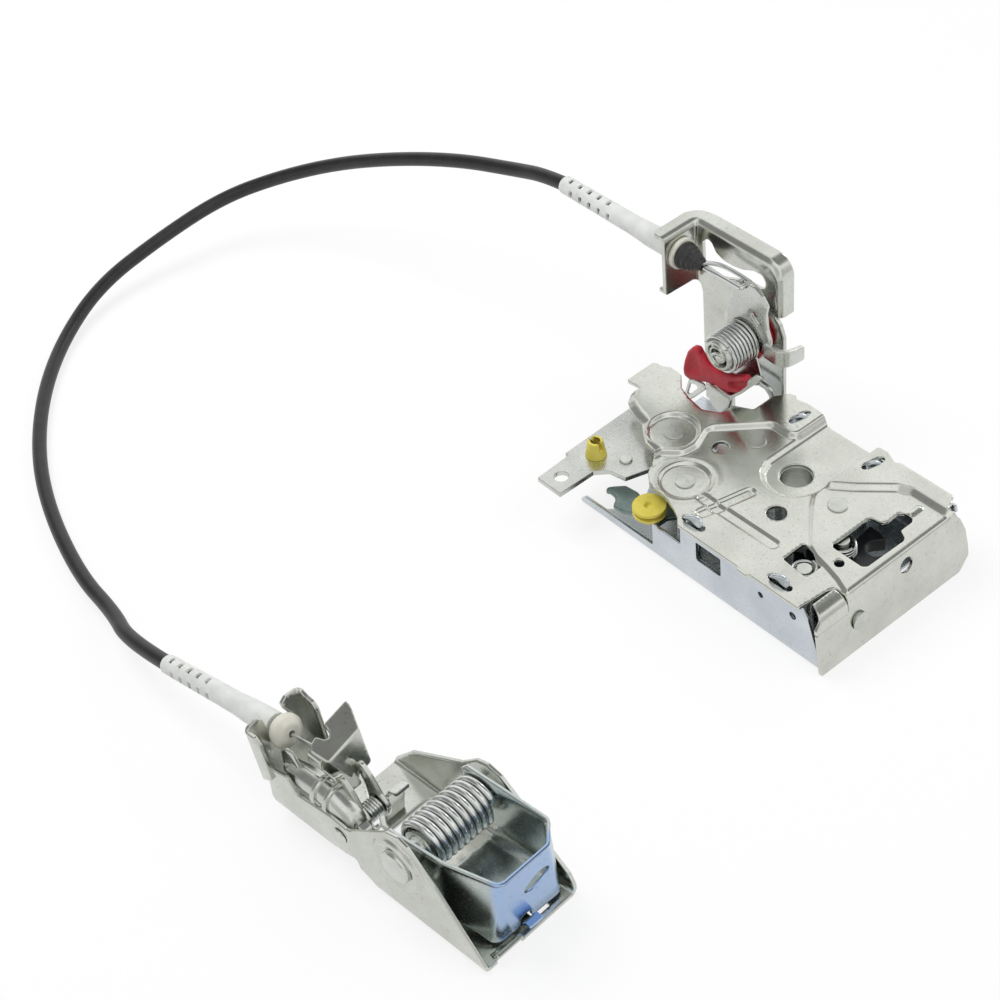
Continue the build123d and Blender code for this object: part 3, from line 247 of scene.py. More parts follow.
# What metal sees is a bright sweep behind and over the object, less dark flags: a broad one on the
# left of the view, two narrow ones low on the right and one over the right shoulder. Each is a smooth
# step of the direction's cosine to the flag's middle: middle, its start, its full depth, and the drop.
sweepLevel, sweepLeast = 1.12, 0.12
flags = [
    ((-0.62, -0.52, 0.59), 0.66, 0.92, 0.8),
    ((0.94, 0.3, 0.1), 0.8, 0.96, 0.5),
    ((0.45, -0.85, 0.28), 0.8, 0.96, 0.5),
    ((0.1, 0.42, 0.9), 0.82, 0.94, 0.85),
]


def makeWorld():
    world = bpy.data.worlds.new("studio")
    bpy.context.scene.world = world
    world.use_nodes = True
    tree = world.node_tree
    tree.nodes.clear()
    ray = addNode(tree, "ShaderNodeLightPath").outputs
    shown = combine(tree, "MAXIMUM", ray["Is Camera Ray"], ray["Is Transmission Ray"])
    where = addNode(tree, "ShaderNodeTexCoord").outputs["Generated"]
    gloss = sweepLevel
    for middle, low, high, drop in flags:
        flag = spread(tree, alongOf(tree, where, middle), low, high, 0.0, drop, "SMOOTHSTEP")
        gloss = combine(tree, "SUBTRACT", gloss, flag)
    gloss = combine(tree, "MAXIMUM", gloss, sweepLeast)
    # light that reaches the metal over a second surface comes from the bright sweep alone
    deep = combine(tree, "GREATER_THAN", ray["Ray Depth"], 2.5)
    gloss = combine(tree, "MAXIMUM", gloss, deep)
    shine, white, fill = (
        addNode(tree, "ShaderNodeBackground", {"Color": (1, 1, 1, 1), "Strength": level}).outputs[0]
        for level in (gloss, 1.0, 0.5))
    first = addNode(tree, "ShaderNodeMixShader", {0: ray["Is Glossy Ray"], 1: fill, 2: shine})
    last = addNode(tree, "ShaderNodeMixShader", {0: shown, 1: first.outputs[0], 2: white})
    addNode(tree, "ShaderNodeOutputWorld", {"Surface": last.outputs[0]})


def makeFloor():
    # a pale sweep: white to the lens, and it keeps part of the object's shadow
    mesh = bpy.data.meshes.new("floor")
    reach = 3.0
    corners = [(-reach, -reach, 0), (reach, -reach, 0), (reach, reach, 0), (-reach, reach, 0)]
    mesh.from_pydata(corners, [], [(0, 1, 2, 3)])
    floor = bpy.data.objects.new("floor", mesh)
    floor.location.z = -0.0004
    bpy.context.scene.collection.objects.link(floor)
    material, tree, _ = startMaterial("paleFloor")
    paint = addNode(tree, "ShaderNodeBsdfDiffuse", {"Color": (0.95, 0.95, 0.95, 1)})
    ray = addNode(tree, "ShaderNodeLightPath").outputs
    level = spread(tree, ray["Is Camera Ray"], 0, 1, 0.92, 1.0)
    glow = addNode(tree, "ShaderNodeEmission", {"Color": (1, 1, 1, 1), "Strength": level})
    seen = combine(tree, "MAXIMUM", ray["Is Camera Ray"], ray["Is Glossy Ray"])
    share = combine(tree, "MULTIPLY", seen, 0.8)
    both = addNode(tree, "ShaderNodeMixShader", {0: share, 1: paint.outputs[0], 2: glow.outputs[0]})
    addNode(tree, "ShaderNodeOutputMaterial", {"Surface": both.outputs[0]})
    mesh.materials.append(material)


lampSpecs = {
    "keyLamp": {"at": (-0.7, -0.3, 1.3), "size": 0.8, "watts": 11, "mirrored": False},
    "fillLamp": {"at": (0.9, 0.5, 1.1), "size": 1.0, "watts": 5, "mirrored": False},
    "stripLamp": {"at": (-0.2, 1.1, 0.9), "size": 0.25, "watts": 1.2, "mirrored": True},
}


def makeLamp(name, spec):
    lamp = bpy.data.lights.new(name, "AREA")
    lamp.energy = spec["watts"]
    lamp.size = spec["size"]
    lampObject = bpy.data.objects.new(name, lamp)
    lampObject.location = spec["at"]
    aim = Vector((-0.1, -0.1, 0.03)) - Vector(spec["at"])
    lampObject.visible_glossy = spec["mirrored"]
    lampObject.rotation_euler = aim.to_track_quat("-Z", "Y").to_euler()
    bpy.context.scene.collection.objects.link(lampObject)


makeWorld()
makeFloor()
for lampName, lampSpec in lampSpecs.items():
    makeLamp(lampName, lampSpec)
print("stage set")


# putting pieces in the scene


def settlePiece(name, mesh, material, body, node, crease):
    mesh.materials.clear()
    mesh.materials.append(materials[material])
    mesh.polygons.foreach_set("use_smooth", np.ones(len(mesh.polygons), bool))
    if crease:
        mesh.set_sharp_from_angle(angle=radians(crease))
    piece = bpy.data.objects.new(name, mesh)
    bpy.context.scene.collection.objects.link(piece)
    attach(piece, body)
    if node:
        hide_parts(node)
    return piece


def placePiece(name, parts, material, node=None, body="case", crease=50):
    # Parts are (points in mm, faces) pairs; they become one mesh of closed, outward-facing shells
    # that rides on a body and replaces a CAD node.
    points, faces, first = [], [], 0
    for vertices, polygons in parts:
        points.append(np.asarray(vertices, float) / 1000)
        faces += [[int(i) + first for i in polygon] for polygon in polygons]
        first += len(vertices)
    mesh = bpy.data.meshes.new(name)
    mesh.from_pydata(np.concatenate(points).tolist(), [], faces)
    cleaned = bmesh.new()
    cleaned.from_mesh(mesh)
    bmesh.ops.remove_doubles(cleaned, verts=cleaned.verts, dist=1e-6)
    bmesh.ops.recalc_face_normals(cleaned, faces=cleaned.faces)
    cleaned.to_mesh(mesh)
    cleaned.free()
    return settlePiece(name, mesh, material, body, node, crease)


def softenedNode(node, material, width):
    # the CAD node's own shape with its edges broken, as tumbled and plated metal has them
    mesh = frame["nodes"][node].data.copy()
    mesh.name = node + "Soft"
    merged = bmesh.new()
    merged.from_mesh(mesh)
    bmesh.ops.remove_doubles(merged, verts=merged.verts, dist=2e-6)
    bmesh.ops.dissolve_limit(merged, angle_limit=radians(1.0), verts=merged.verts, edges=merged.edges)
    merged.to_mesh(mesh)
    merged.free()
    if "custom_normal" in mesh.attributes:
        mesh.attributes.remove(mesh.attributes["custom_normal"])
    piece = settlePiece(node + "Soft", mesh, material, frame["nodes"][node]["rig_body"], node, 0)
    bevel = piece.modifiers.new("brokenEdges", "BEVEL")
    bevel.width = width / 1000
    bevel.segments = 2
    bevel.limit_method = "ANGLE"
    bevel.angle_limit = radians(38)
    bevel.use_clamp_overlap = False
    bevel.harden_normals = True


upward = np.array((0, 0, 1.0))


def gridFaces(rows, columns):
    # quads between neighbouring closed rings of points
    i = np.arange(rows - 1)[:, None] * columns
    j = np.arange(columns)[None, :]
    k = (j + 1) % columns
    after = i + columns
    return np.stack([i + j, i + k, after + k, after + j], -1).reshape(-1, 4).tolist()


def unit(v):
    # each vector at length one
    return v / np.linalg.norm(v, axis=-1, keepdims=True)


def tubeAlong(path, radius, reference, sides=14):
    # circle of the given radius carried along a path: point + r (cos t * n + sin t * b),
    # where n is the reference direction made square to the path and b is square to both
    path = np.asarray(path, float)
    run = unit(np.gradient(path, axis=0))
    ref = np.broadcast_to(np.asarray(reference, float), path.shape)
    n = unit(ref - (ref * run).sum(1, keepdims=True) * run)
    b = np.cross(run, n)
    t = np.linspace(0, 2 * pi, sides, endpoint=False)
    r = np.broadcast_to(np.asarray(radius, float), len(path))[:, None, None]
    points = path[:, None] + r * (np.cos(t)[None, :, None] * n[:, None] + np.sin(t)[None, :, None] * b[:, None])
    faces = gridFaces(len(path), sides)
    last = (len(path) - 1) * sides
    faces += [list(range(sides))[::-1], [last + i for i in range(sides)]]
    return points.reshape(-1, 3), faces


def turnedSolid(profile, start, axis, sides=48):
    # profile of (distance along the axis, radius) turned about the axis; radius 0 closes the ends
    profile = np.asarray(profile, float)
    axis = unit(np.asarray(axis, float))
    n = unit(upward - (upward @ axis) * axis)
    b = np.cross(axis, n)
    t = np.linspace(0, 2 * pi, sides, endpoint=False)
    spokes = np.cos(t)[:, None] * n + np.sin(t)[:, None] * b
    points = np.asarray(start, float) + profile[:, 0, None, None] * axis + profile[:, 1, None, None] * spokes
    return points.reshape(-1, 3), gridFaces(len(profile), sides)


def smoothStep(value):
    value = np.clip(value, 0, 1)
    return value * value * (3 - 2 * value)


def cornerArc(before, at, after, radius, most, count):
    # Arc tangent to both sides of a corner, which takes up at most the given share of the shorter
    # side; count gives the number of its points from its turn and size. None where it would vanish.
    din, dout = at - before, after - at
    lin, lout = np.hypot(*din), np.hypot(*dout)
    din, dout = din / lin, dout / lout
    turn = np.arctan2(din[0] * dout[1] - din[1] * dout[0], din @ dout)
    if abs(turn) <= 0.02:
        return None
    size = min(radius, most * min(lin, lout) / max(tan(abs(turn) / 2), 1e-6))
    if size < 1e-3:
        return None
    start = at - din * size * tan(abs(turn) / 2)
    centre = start + np.sign(turn) * size * np.array((-din[1], din[0]))
    angles = np.arctan2(*(start - centre)[::-1]) + turn * np.linspace(0, 1, count(abs(turn), size))
    return centre + size * np.stack([np.cos(angles), np.sin(angles)], 1)


def roundLoop(corners, radius=0.0, step=0.8):
    # closed polygon with rounded corners, sampled about every step millimetres
    corners = np.asarray(corners, float)
    samples = []
    for before, at, after in zip(np.roll(corners, 1, 0), corners, np.roll(corners, -1, 0)):
        arc = cornerArc(before, at, after, radius, 0.48,
                        lambda turn, size: max(3, int(turn * size / min(step, size * 0.35)) + 2))
        samples.append(at[None] if arc is None else arc)
    points = np.concatenate(samples)
    filled = []
    for a, c in zip(points, np.roll(points, -1, 0)):
        n = max(1, int(np.ceil(np.hypot(*(c - a)) / step)))
        filled.append(a + (c - a) * (np.arange(n) / n)[:, None])
    return np.concatenate(filled)


def circleLoop(at, radius, count=28):
    t = np.linspace(0, 2 * pi, count, endpoint=False)
    return np.stack([at[0] + radius * np.cos(t), at[1] + radius * np.sin(t)], 1)


def distanceTo(points, loop, closed=True):
    # distance from each point to the nearest side of a loop, a few million pairs at a time
    a = np.asarray(loop, float)
    c = np.roll(a, -1, 0) if closed else a[1:]
    a = a if closed else a[:-1]
    run = c - a
    size = np.maximum((run * run).sum(1), 1e-12)
    nearest = np.empty(len(points))
    for part in np.array_split(np.arange(len(points)), max(1, len(points) * len(a) // 2000000)):
        away = points[part, None] - a[None]
        t = np.clip((away * run[None]).sum(2) / size[None], 0, 1)
        nearest[part] = np.sqrt(((away - t[..., None] * run[None]) ** 2).sum(2).min(1))
    return nearest


def insideOf(points, loop):
    # even-odd rule
    a = np.asarray(loop, float)
    c = np.roll(a, -1, 0)
    inside = np.zeros(len(points), bool)
    for part in np.array_split(np.arange(len(points)), max(1, len(points) * len(a) // 4000000)):
        x, y = points[part, 0, None], points[part, 1, None]
        crosses = (a[None, :, 1] > y) != (c[None, :, 1] > y)
        rise = np.where(c[:, 1] == a[:, 1], 1e-12, c[:, 1] - a[:, 1])
        at = a[None, :, 0] + (y - a[None, :, 1]) * ((c[:, 0] - a[:, 0]) / rise)[None]
        inside[part] = ((crosses & (x < at)).sum(1) % 2).astype(bool)
    return inside


def signedTo(points, loop):
    # positive inside the loop
    away = distanceTo(points, loop)
    return np.where(insideOf(points, loop), away, -away)


def fineSheet(loops, surface, thickness, coarse, fine=None, busy=None, edge=0.3, seams=None):
    # Sheet with two faces over a flat pattern. loops[0] is the outline and the rest are holes.
    # surface(s, t, depth) gives the place of a pattern point at a depth under the upper face.
    # Rounded edge: depth = edge - sqrt(edge^2 - (edge - d)^2) for a point d from the nearest side.
    outline = loops[0]
    low, high = outline.min(0), outline.max(0)
    borders = np.concatenate(loops)

    def insideAll(p):
        inside = insideOf(p, outline)
        for hole in loops[1:]:
            inside &= ~insideOf(p, hole)
        return inside

    def toBorders(p):
        return np.min([distanceTo(p, loop) for loop in loops], 0)

    def hexPoints(step):
        rows = np.arange(low[1], high[1], step * 0.866)
        columns = np.arange(low[0], high[0], step)
        x, y = np.meshgrid(columns, rows)
        x = x + (np.arange(len(rows)) % 2)[:, None] * step / 2
        return np.stack([x.ravel(), y.ravel()], 1)

    inner = hexPoints(coarse)
    if fine:
        inner = inner[~busy(inner)]
        closer = hexPoints(fine)
        inner = np.concatenate([inner, closer[busy(closer)]])
    inner = inner[insideAll(inner)]
    inner = inner[toBorders(inner) > edge + 0.35 * (fine or coarse)]
    rims = []
    for loop in loops:
        before, after = np.roll(loop, 1, 0), np.roll(loop, -1, 0)
        run = after - before
        size = np.maximum(np.hypot(run[:, 0], run[:, 1]), 1e-9)[:, None]
        side = np.stack([-run[:, 1], run[:, 0]], 1) / size
        for away in (0.3 * edge, edge):
            for way in (1, -1):
                rims.append((loop + way * away * side, away))
    kept = []
    for rim, away in rims:
        good = insideAll(rim)
        rim = rim[good]
        if len(rim):
            kept.append(rim[np.abs(toBorders(rim) - away) < 0.15 * away])
    flat = np.concatenate([borders] + kept + [inner])
    edges, first = [], 0
    for loop in loops:
        ids = np.arange(len(loop)) + first
        edges += np.stack([ids, np.roll(ids, -1)], 1).tolist()
        first += len(loop)
    cut = delaunay_2d_cdt([Vector(p) for p in flat.tolist()], edges, [], 0, 1e-5)
    flat = np.array([tuple(v) for v in cut[0]])
    faces = np.array([f for f in cut[2] if len(f) == 3])
    corner = flat[faces]
    area = np.abs(np.cross(corner[:, 1] - corner[:, 0], corner[:, 2] - corner[:, 0]))
    faces = faces[insideAll(corner.mean(1)) & (area > 1e-7)]
    used, faces = np.unique(faces, return_inverse=True)
    faces = faces.reshape(-1, 3)
    flat = flat[used]
    corner = flat[faces]
    turned = np.cross(corner[:, 1] - corner[:, 0], corner[:, 2] - corner[:, 0]) < 0
    faces[turned] = faces[turned][:, ::-1]
    away = toBorders(flat)
    if seams is not None:
        away = np.where(seams(flat), edge, away)
    gap = np.clip(edge - away, 0, edge)
    drop = edge - np.sqrt(np.maximum(edge * edge - gap * gap, 0))
    upper = surface(flat[:, 0], flat[:, 1], drop)
    lower = surface(flat[:, 0], flat[:, 1], thickness - drop)
    count = len(flat)
    sides = np.concatenate([faces[:, [0, 1]], faces[:, [1, 2]], faces[:, [2, 0]]])
    key = np.sort(sides, 1)
    order, index, times = np.unique(key[:, 0] * (count + 1) + key[:, 1], return_index=True, return_counts=True)
    rim = sides[index[times == 1]]
    walls = np.stack([rim[:, 1], rim[:, 0], rim[:, 0] + count, rim[:, 1] + count], 1)
    polygons = faces.tolist() + (faces[:, ::-1] + count).tolist() + walls.tolist()
    return np.concatenate([upper, lower]), polygons


def quarterLeft(direction):
    return np.array((-direction[1], direction[0]))


def turnedBy(direction, angle):
    c, s = cos(angle), sin(angle)
    return np.array((direction[0] * c - direction[1] * s, direction[0] * s + direction[1] * c))


def bentPath(corners, radius):
    # A sheet's section: straights joined by arcs. Gives a function from the distance s along it to
    # place and outward normal, and each bend's first and last s; the normal is the direction of
    # travel turned a quarter to the left.
    corners = np.asarray(corners, float)
    radii = np.broadcast_to(np.asarray(radius, float), len(corners))
    runs = np.diff(corners, axis=0)
    runs = runs / np.hypot(*runs.T)[:, None]
    first, last = runs[0], runs[-1]
    arcPoints = 13
    places, normals = [corners[0]], [quarterLeft(first)]
    for corner, size, din, dout in zip(corners[1:-1], radii[1:-1], runs[:-1], runs[1:]):
        turn = np.arctan2(din[0] * dout[1] - din[1] * dout[0], din @ dout)
        side = np.sign(turn)
        centre = corner - din * size * tan(abs(turn) / 2) + side * size * quarterLeft(din)
        for angle in turn * np.linspace(0, 1, arcPoints):
            places.append(centre + size * turnedBy(-side * quarterLeft(din), angle))
            normals.append(quarterLeft(turnedBy(din, angle)))
    places, normals = np.array(places + [corners[-1]]), np.array(normals + [quarterLeft(last)])
    s = np.concatenate([[0], np.cumsum(np.hypot(*np.diff(places, axis=0).T))])

    def at(value):
        p = [np.interp(value, s, places[:, k]) for k in (0, 1)]
        n = [np.interp(value, s, normals[:, k]) for k in (0, 1)]
        past = np.where(value > s[-1], value - s[-1], np.where(value < 0, value, 0))
        way = [np.where(value > s[-1], last[k], first[k]) for k in (0, 1)]
        return p[0] + past * way[0], p[1] + past * way[1], n[0], n[1]

    return at, [(s[1 + arcPoints * k], s[arcPoints * (k + 1)]) for k in range(len(corners) - 2)]


def bentSheet(section, radius, loops, place, thickness, coarse=2.4, fine=0.9, rise=None,
              edge=0.3, corner=1.0, busyLoops=(), seams=None):
    # Sheet bent along a section: the pattern's first number runs along the section, its second
    # across it, and place(a, b, across) puts the section's point in the frame.
    at, bends = bentPath(section, radius)

    def surface(s, t, depth):
        a, b, na, nb = at(s)
        h = (0 if rise is None else rise(s, t)) - depth
        return place(a + na * h, b + nb * h, t)

    def busy(p):
        near = np.zeros(len(p), bool)
        for first, last in bends:
            near |= (p[:, 0] > first - 0.6) & (p[:, 0] < last + 0.6)
        for loop in busyLoops:
            near |= distanceTo(p, loop) < 2.6
        return near

    # long loops are round already
    rounded = [roundLoop(loop, corner, 0.9) if len(loop) < 60 else loop for loop in loops]
    return fineSheet(rounded, surface, thickness, coarse=coarse, fine=fine, busy=busy, edge=edge, seams=seams)


def alongX(a, b, across):
    # section in x and z, across it y
    return np.stack([a, across, b], 1)


def alongY(a, b, across):
    # section in y and z, across it x
    return np.stack([across, a, b], 1)


def levelAlong(a, b, across):
    # section in x and y, across it z
    return np.stack([a, b, across], 1)


# the cable: its sheath first

cable = {
    "route": [
        (-208.5, 48.8, 108.5), (-226, 48.8, 106.5), (-252, 48.0, 98.5), (-292, 39.0, 91), (-337.4, 26.5, 77.5),
        (-382, 11.9, 60.6), (-419.2, -10.6, 44), (-442, -40.5, 32.5), (-449, -84.5, 22), (-449, -131.5, 12.5),
        (-429.4, -173.3, 4.8), (-393.7, -210.7, 4.6), (-348.9, -242.4, 4.6), (-302, -263.7, 4.8), (-246, -279.5, 6),
        (-204, -284, 11.0), (-176, -292.5, 18.2), (-139.62, -290.32, 25.97),
    ],
    "diameter": 8.4,
    "length": 733.9,
    "reliefLength": 90.0,
    "coreRadius": 4.1,
}


def makeSheath(spec):
    curve = bpy.data.curves.new("cableSheath", "CURVE")
    curve.dimensions = "3D"
    spline = curve.splines.new("NURBS")
    spline.points.add(len(spec["route"]) - 1)
    for point, place in zip(spline.points, spec["route"]):
        point.co = (place[0] / 1000, place[1] / 1000, place[2] / 1000, 1)
    spline.order_u = 3
    spline.use_endpoint_u = True
    spline.resolution_u = 14
    curve.bevel_depth = spec["diameter"] / 2000
    curve.bevel_resolution = 7
    curve.use_fill_caps = True
    curve.materials.append(materials["blackSheath"])
    sheath = bpy.data.objects.new("cableSheath", curve)
    bpy.context.scene.collection.objects.link(sheath)
    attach(sheath, "case")
    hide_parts("conduit")
    return sheath


sheath = makeSheath(cable)


def reliefPoints(spec):
    # Radius along the relief, less a slot's depth: ten rows of two slots, each row turned a
    # quarter against the last; a slot is a smooth box in length and angle, deep enough to show the sheath.
    length = spec["reliefLength"]
    along = np.concatenate([[0, 0.001], np.linspace(0.4, length - 0.4, 230), [length - 0.001, length]])
    body = np.interp(along, [0, 0.5, length * 0.22, length * 0.3, length * 0.36, length - 0.8, length],
                     [6.1, 6.5, 6.4, 5.9, 5.6, 5.2, 4.9])
    t = np.linspace(0, 2 * pi, 112, endpoint=False)
    radius = np.repeat(body[:, None], len(t), 1)
    firstRow, rowPitch, slotDepth, halfLength, halfTurn = 6.2, 3.84, 2.4, 0.95, 0.36
    for row in range(10):
        middle = length - firstRow - row * rowPitch
        turn = (row % 2) * pi / 2
        near = smoothStep((halfLength - np.abs(along - middle)) / 0.5 + 0.5)
        offMiddle = np.abs((t - turn + pi / 2) % pi - pi / 2)
        wide = smoothStep((halfTurn - offMiddle) / 0.12 + 0.5)
        radius -= slotDepth * near[:, None] * wide[None]
    radius[[0, -1]] = 0
    return along, t, radius


def makeRelief(name, node, start, axis, spec):
    along, t, radius = reliefPoints(spec)
    n = unit(upward - axis[2] * axis)
    b = np.cross(axis, n)
    spokes = np.cos(t)[:, None] * n + np.sin(t)[:, None] * b
    points = start + along[:, None, None] * axis + radius[..., None] * spokes[None]
    shell = points.reshape(-1, 3), gridFaces(len(along), len(t))
    return placePiece(name, [shell], "whiteNylon", node, crease=35)


def makeCore(name, start, axis, spec):
    # the sheath's own end inside the relief, seen through the slots
    path = start + np.linspace(0, spec["reliefLength"] - 3.6, 12)[:, None] * axis
    core = tubeAlong(path, spec["coreRadius"], (0.1, 0.3, 0.9), sides=32)
    placePiece(name, [core], "blackSheath", crease=60)


latchOrigin = np.array((100.1, -286.5, 0.0))
latchHeading = radians(4.5)
alongLatch = np.array((cos(latchHeading), sin(latchHeading), 0.0))
acrossLatch = np.array((-sin(latchHeading), cos(latchHeading), 0.0))


def inFrame(origin, axes, numbers):
    # origin + x * first axis + y * second axis + z * third axis
    x, y, z = (value[..., None] for value in np.broadcast_arrays(*(np.asarray(n, float) for n in numbers)))
    return origin + x * axes[0] + y * axes[1] + z * axes[2]


def latchPoint(u, v, z):
    # from the second latch's own frame to the lock's
    return inFrame(latchOrigin, (alongLatch, acrossLatch, upward), (u, v, z))


fork = {"at": (-148.8, 15.0, 45.2), "rise": radians(12.0)}
forkAxis = cos(fork["rise"]) * alongLatch + sin(fork["rise"]) * upward
forkUp = -sin(fork["rise"]) * alongLatch + cos(fork["rise"]) * upward
forkCentre = latchPoint(*fork["at"])


def forkPoint(x, y, z):
    # x along the cable, y across, z up the leaning plate
    return inFrame(forkCentre, (forkAxis, acrossLatch, forkUp), (x, y, z))


bracketEnd, bracketAxis = np.array((-118.5, 48.8, 108.5)), np.array((-1.0, 0, 0))
upperRelief = makeRelief("upperRelief", "upper_strain_relief", bracketEnd, bracketAxis, cable)
lowerRelief = makeRelief("lowerRelief", "lower_strain_relief", forkPoint(-2.5, 0, 0), -forkAxis, cable)
makeCore("upperCore", bracketEnd + 2.5 * bracketAxis, bracketAxis, cable)
makeCore("lowerCore", forkPoint(-5.0, 0, 0), -forkAxis, cable)
print("cable laid")


# the lock's cover plate

cover = {
    "top": 38.0, "thickness": 2.0,
    "leftRise": 3.0, "rightRise": 1.5, "bandRise": 2.5, "tubeSink": 2.5, "ribSink": 1.4,
    "outline": [
        (-19, -50.2), (24.5, -50.2), (25.5, -52), (32, -52), (33, -50.2), (66, -50.2), (67.3, -38), (67.8, -32),
        (69.4, -27), (89.2, -27), (89.2, -50), (116.2, -50), (116.2, 53.8), (109.3, 61.3), (102.4, 61.3),
        (91.2, 60),
        (82.2, 56.5), (76.2, 52), (73.4, 52.2), (72.6, 56.5), (70.8, 57.2), (70.4, 60.4), (34, 60.4), (31.5, 58.6),
        (24, 62.2), (18, 61.8), (16, 60.5), (-15, 60.5), (-20, 62), (-34, 62.5), (-41, 60.8), (-43, 63),
        (-47, 61.8),
        (-52, 54), (-52, 39), (-62, 34), (-63, 25), (-72, 20), (-84, 22), (-93, 25), (-101, 32.5), (-110, 33),
        (-114, 30.5), (-120, 29.6), (-119.6, 8.5), (-109.4, 9.4), (-110.2, 2.5), (-107, -2.4), (-102, -5.2),
        (-95, -7.6), (-88.5, -9.2), (-83, -14), (-76, -18.6), (-68, -20), (-63, -26.5), (-58.5, -33.5), (-53, -38),
        (-48, -39.4), (-42.5, -39), (-35.6, -41), (-29, -43.4), (-23, -46.4),
    ],
    "cutout": [
        (48.3, -6), (48.5, 21), (55.5, 22.3), (57, 25), (56.5, 33), (59, 35.3), (64.5, 35.3), (66, 33), (66, 24.5),
        (71, 21.8), (72, 20), (71.5, -6), (69.5, -8), (50, -8),
    ],
    "smallWindow": [(36.7, -14.5), (36.7, -30.3), (54, -31.7), (54.3, -20.7), (50, -20), (45, -17)],
    "holes": [
        ((-45.5, 7.4), 4.6), ((11.2, -8.4), 5.4), ((60, -14.2), 2.6), ((-3, 20.9), 8.9), ((98.3, -20.5), 3.9),
        ((86.2, 15.5), 4.6),
    ],
    "earSlots": [
        ((-14.0, -43.4), (15.4, 3.8), 0), ((47.5, -43.4), (15.4, 3.8), 0), ((23.9, 50.4), (14.2, 3.4), 78),
        ((-29.6, 51.4), (14.2, 3.4), 82),
    ],
    "leftPlateau": [
        (-140, -30), (-77, -30), (-62, -17), (-55, -11), (-54, -2), (-60, 12), (-37, 38), (-21, 38), (-21, 80),
        (-140, 80),
    ],
    "rightPlateau": [
        (16, 90), (16, 14), (21, 7), (41, -15), (48, -18), (57, -20), (66, -22.4), (77.5, -27), (140, -27),
        (140, 90),
    ],
    "farBand": [(15.5, 90), (15.5, 21), (22, 26), (29, 31.5), (37, 39), (44.5, 46), (52, 49), (78, 49), (78, 90)],
    "tube": [
        (-19.5, 90), (-20, 18), (-16.5, 9.5), (-11, 5), (-4, 3), (3, 4), (9, 7.5), (13, 13), (15, 21),
        (15.2, 90),
    ],
    "releaseDish": ((-71.5, -2.2), 13.6, 2.6), "lockDish": ((-41.0, -23.3), 13.4, 1.6),
    "ribs": [((-25, -26.5), (25.5, -26), 6.2), ((-9.7, -6.8), (-16.3, -34.8), 6.2)],
    "skirt": [
        (-109.6, 2), (-107, -2), (-102, -5), (-95, -7.4), (-88, -9), (-83, -13.5), (-76, -18), (-68, -19.6),
        (-62, -26),
    ],
    "shoulder": [(68.4, 37.6), (77.88, 36.4), (79.026, 27.05)],
    "shoulderOutline": [(0.5, -27.3), (0.5, -43), (9.8, -45.6), (14.4, -50), (17.1, -50), (17.1, -27.3)],
    "levelEnd": 77.5, "flangeFoot": 82.34, "reach": 140,
}


def slotLoop(at, size, turn, count=10):
    # slot with round ends, turned about its middle
    half, r = (size[0] - size[1]) / 2, size[1] / 2
    t = np.linspace(-pi / 2, pi / 2, count)
    right = np.stack([half + r * np.cos(t), r * np.sin(t)], 1)
    left = np.stack([-half - r * np.cos(t), -r * np.sin(t)], 1)
    loop = np.concatenate([right, left])
    c, s = cos(radians(turn)), sin(radians(turn))
    return np.stack([at[0] + loop[:, 0] * c - loop[:, 1] * s, at[1] + loop[:, 0] * s + loop[:, 1] * c], 1)


def blendTo(height, level, share):
    return height + (level - height) * share


def ribDistance(p, rib):
    # from each point to the rib's middle line
    start, end, width = rib
    a, run = np.array(start), np.array(end) - np.array(start)
    t = np.clip(((p - a) @ run) / (run @ run), 0, 1)
    return np.hypot(*(p - a - t[:, None] * run).T)


def coverHeight(x, y, spec):
    # Height over the plate's plain level: raised fields, sunk channel, dishes and ribs, each
    # a smooth step of the signed distance to its outline.
    p = np.stack([x, y], 1)
    # corner radius of each field's outline and width of its slope
    left, right, band, tube = (
        smoothStep(signedTo(p, roundLoop(spec[key], radius, 3)) / slope + 0.5)
        for key, radius, slope in (
            ("leftPlateau", 6, 3.2), ("rightPlateau", 5, 3.0), ("farBand", 5, 5.0), ("tube", 4, 3.8)))
    h = right * spec["rightRise"] + spec["bandRise"] * band
    h = blendTo(h, spec["leftRise"], left)
    h = blendTo(h, -spec["tubeSink"], tube)
    for rib in spec["ribs"]:
        h = h - spec["ribSink"] * smoothStep((rib[2] / 2 - ribDistance(p, rib)) / 1.6 + 0.5)
    for key, rise in (("releaseDish", spec["leftRise"]), ("lockDish", 0.0)):
        (cx, cy), radius, depth = spec[key]
        away = np.hypot(x - cx, y - cy)
        h = blendTo(h, rise - depth, smoothStep((radius - away) / 2.1 + 0.5))
    # raised halo of drawn metal round the lock dish
    (cx, cy), radius, depth = spec["lockDish"]
    away = np.hypot(x - cx, y - cy)
    h = h + 0.25 * np.exp(-((away - radius - 3.6) / 1.6) ** 2)
    # short bead above the cut-out
    away = np.hypot(x - 61.6, y - np.clip(y, 37.6, 43))
    h = h + 0.8 * smoothStep((1.7 - away) / 2.2 + 0.5)
    # left lower edge drawn down like a skirt
    away = distanceTo(p, spec["skirt"], closed=False)
    return h - 1.9 * (1 - smoothStep(away / 4.6)) ** 1.5 * (x < -60)


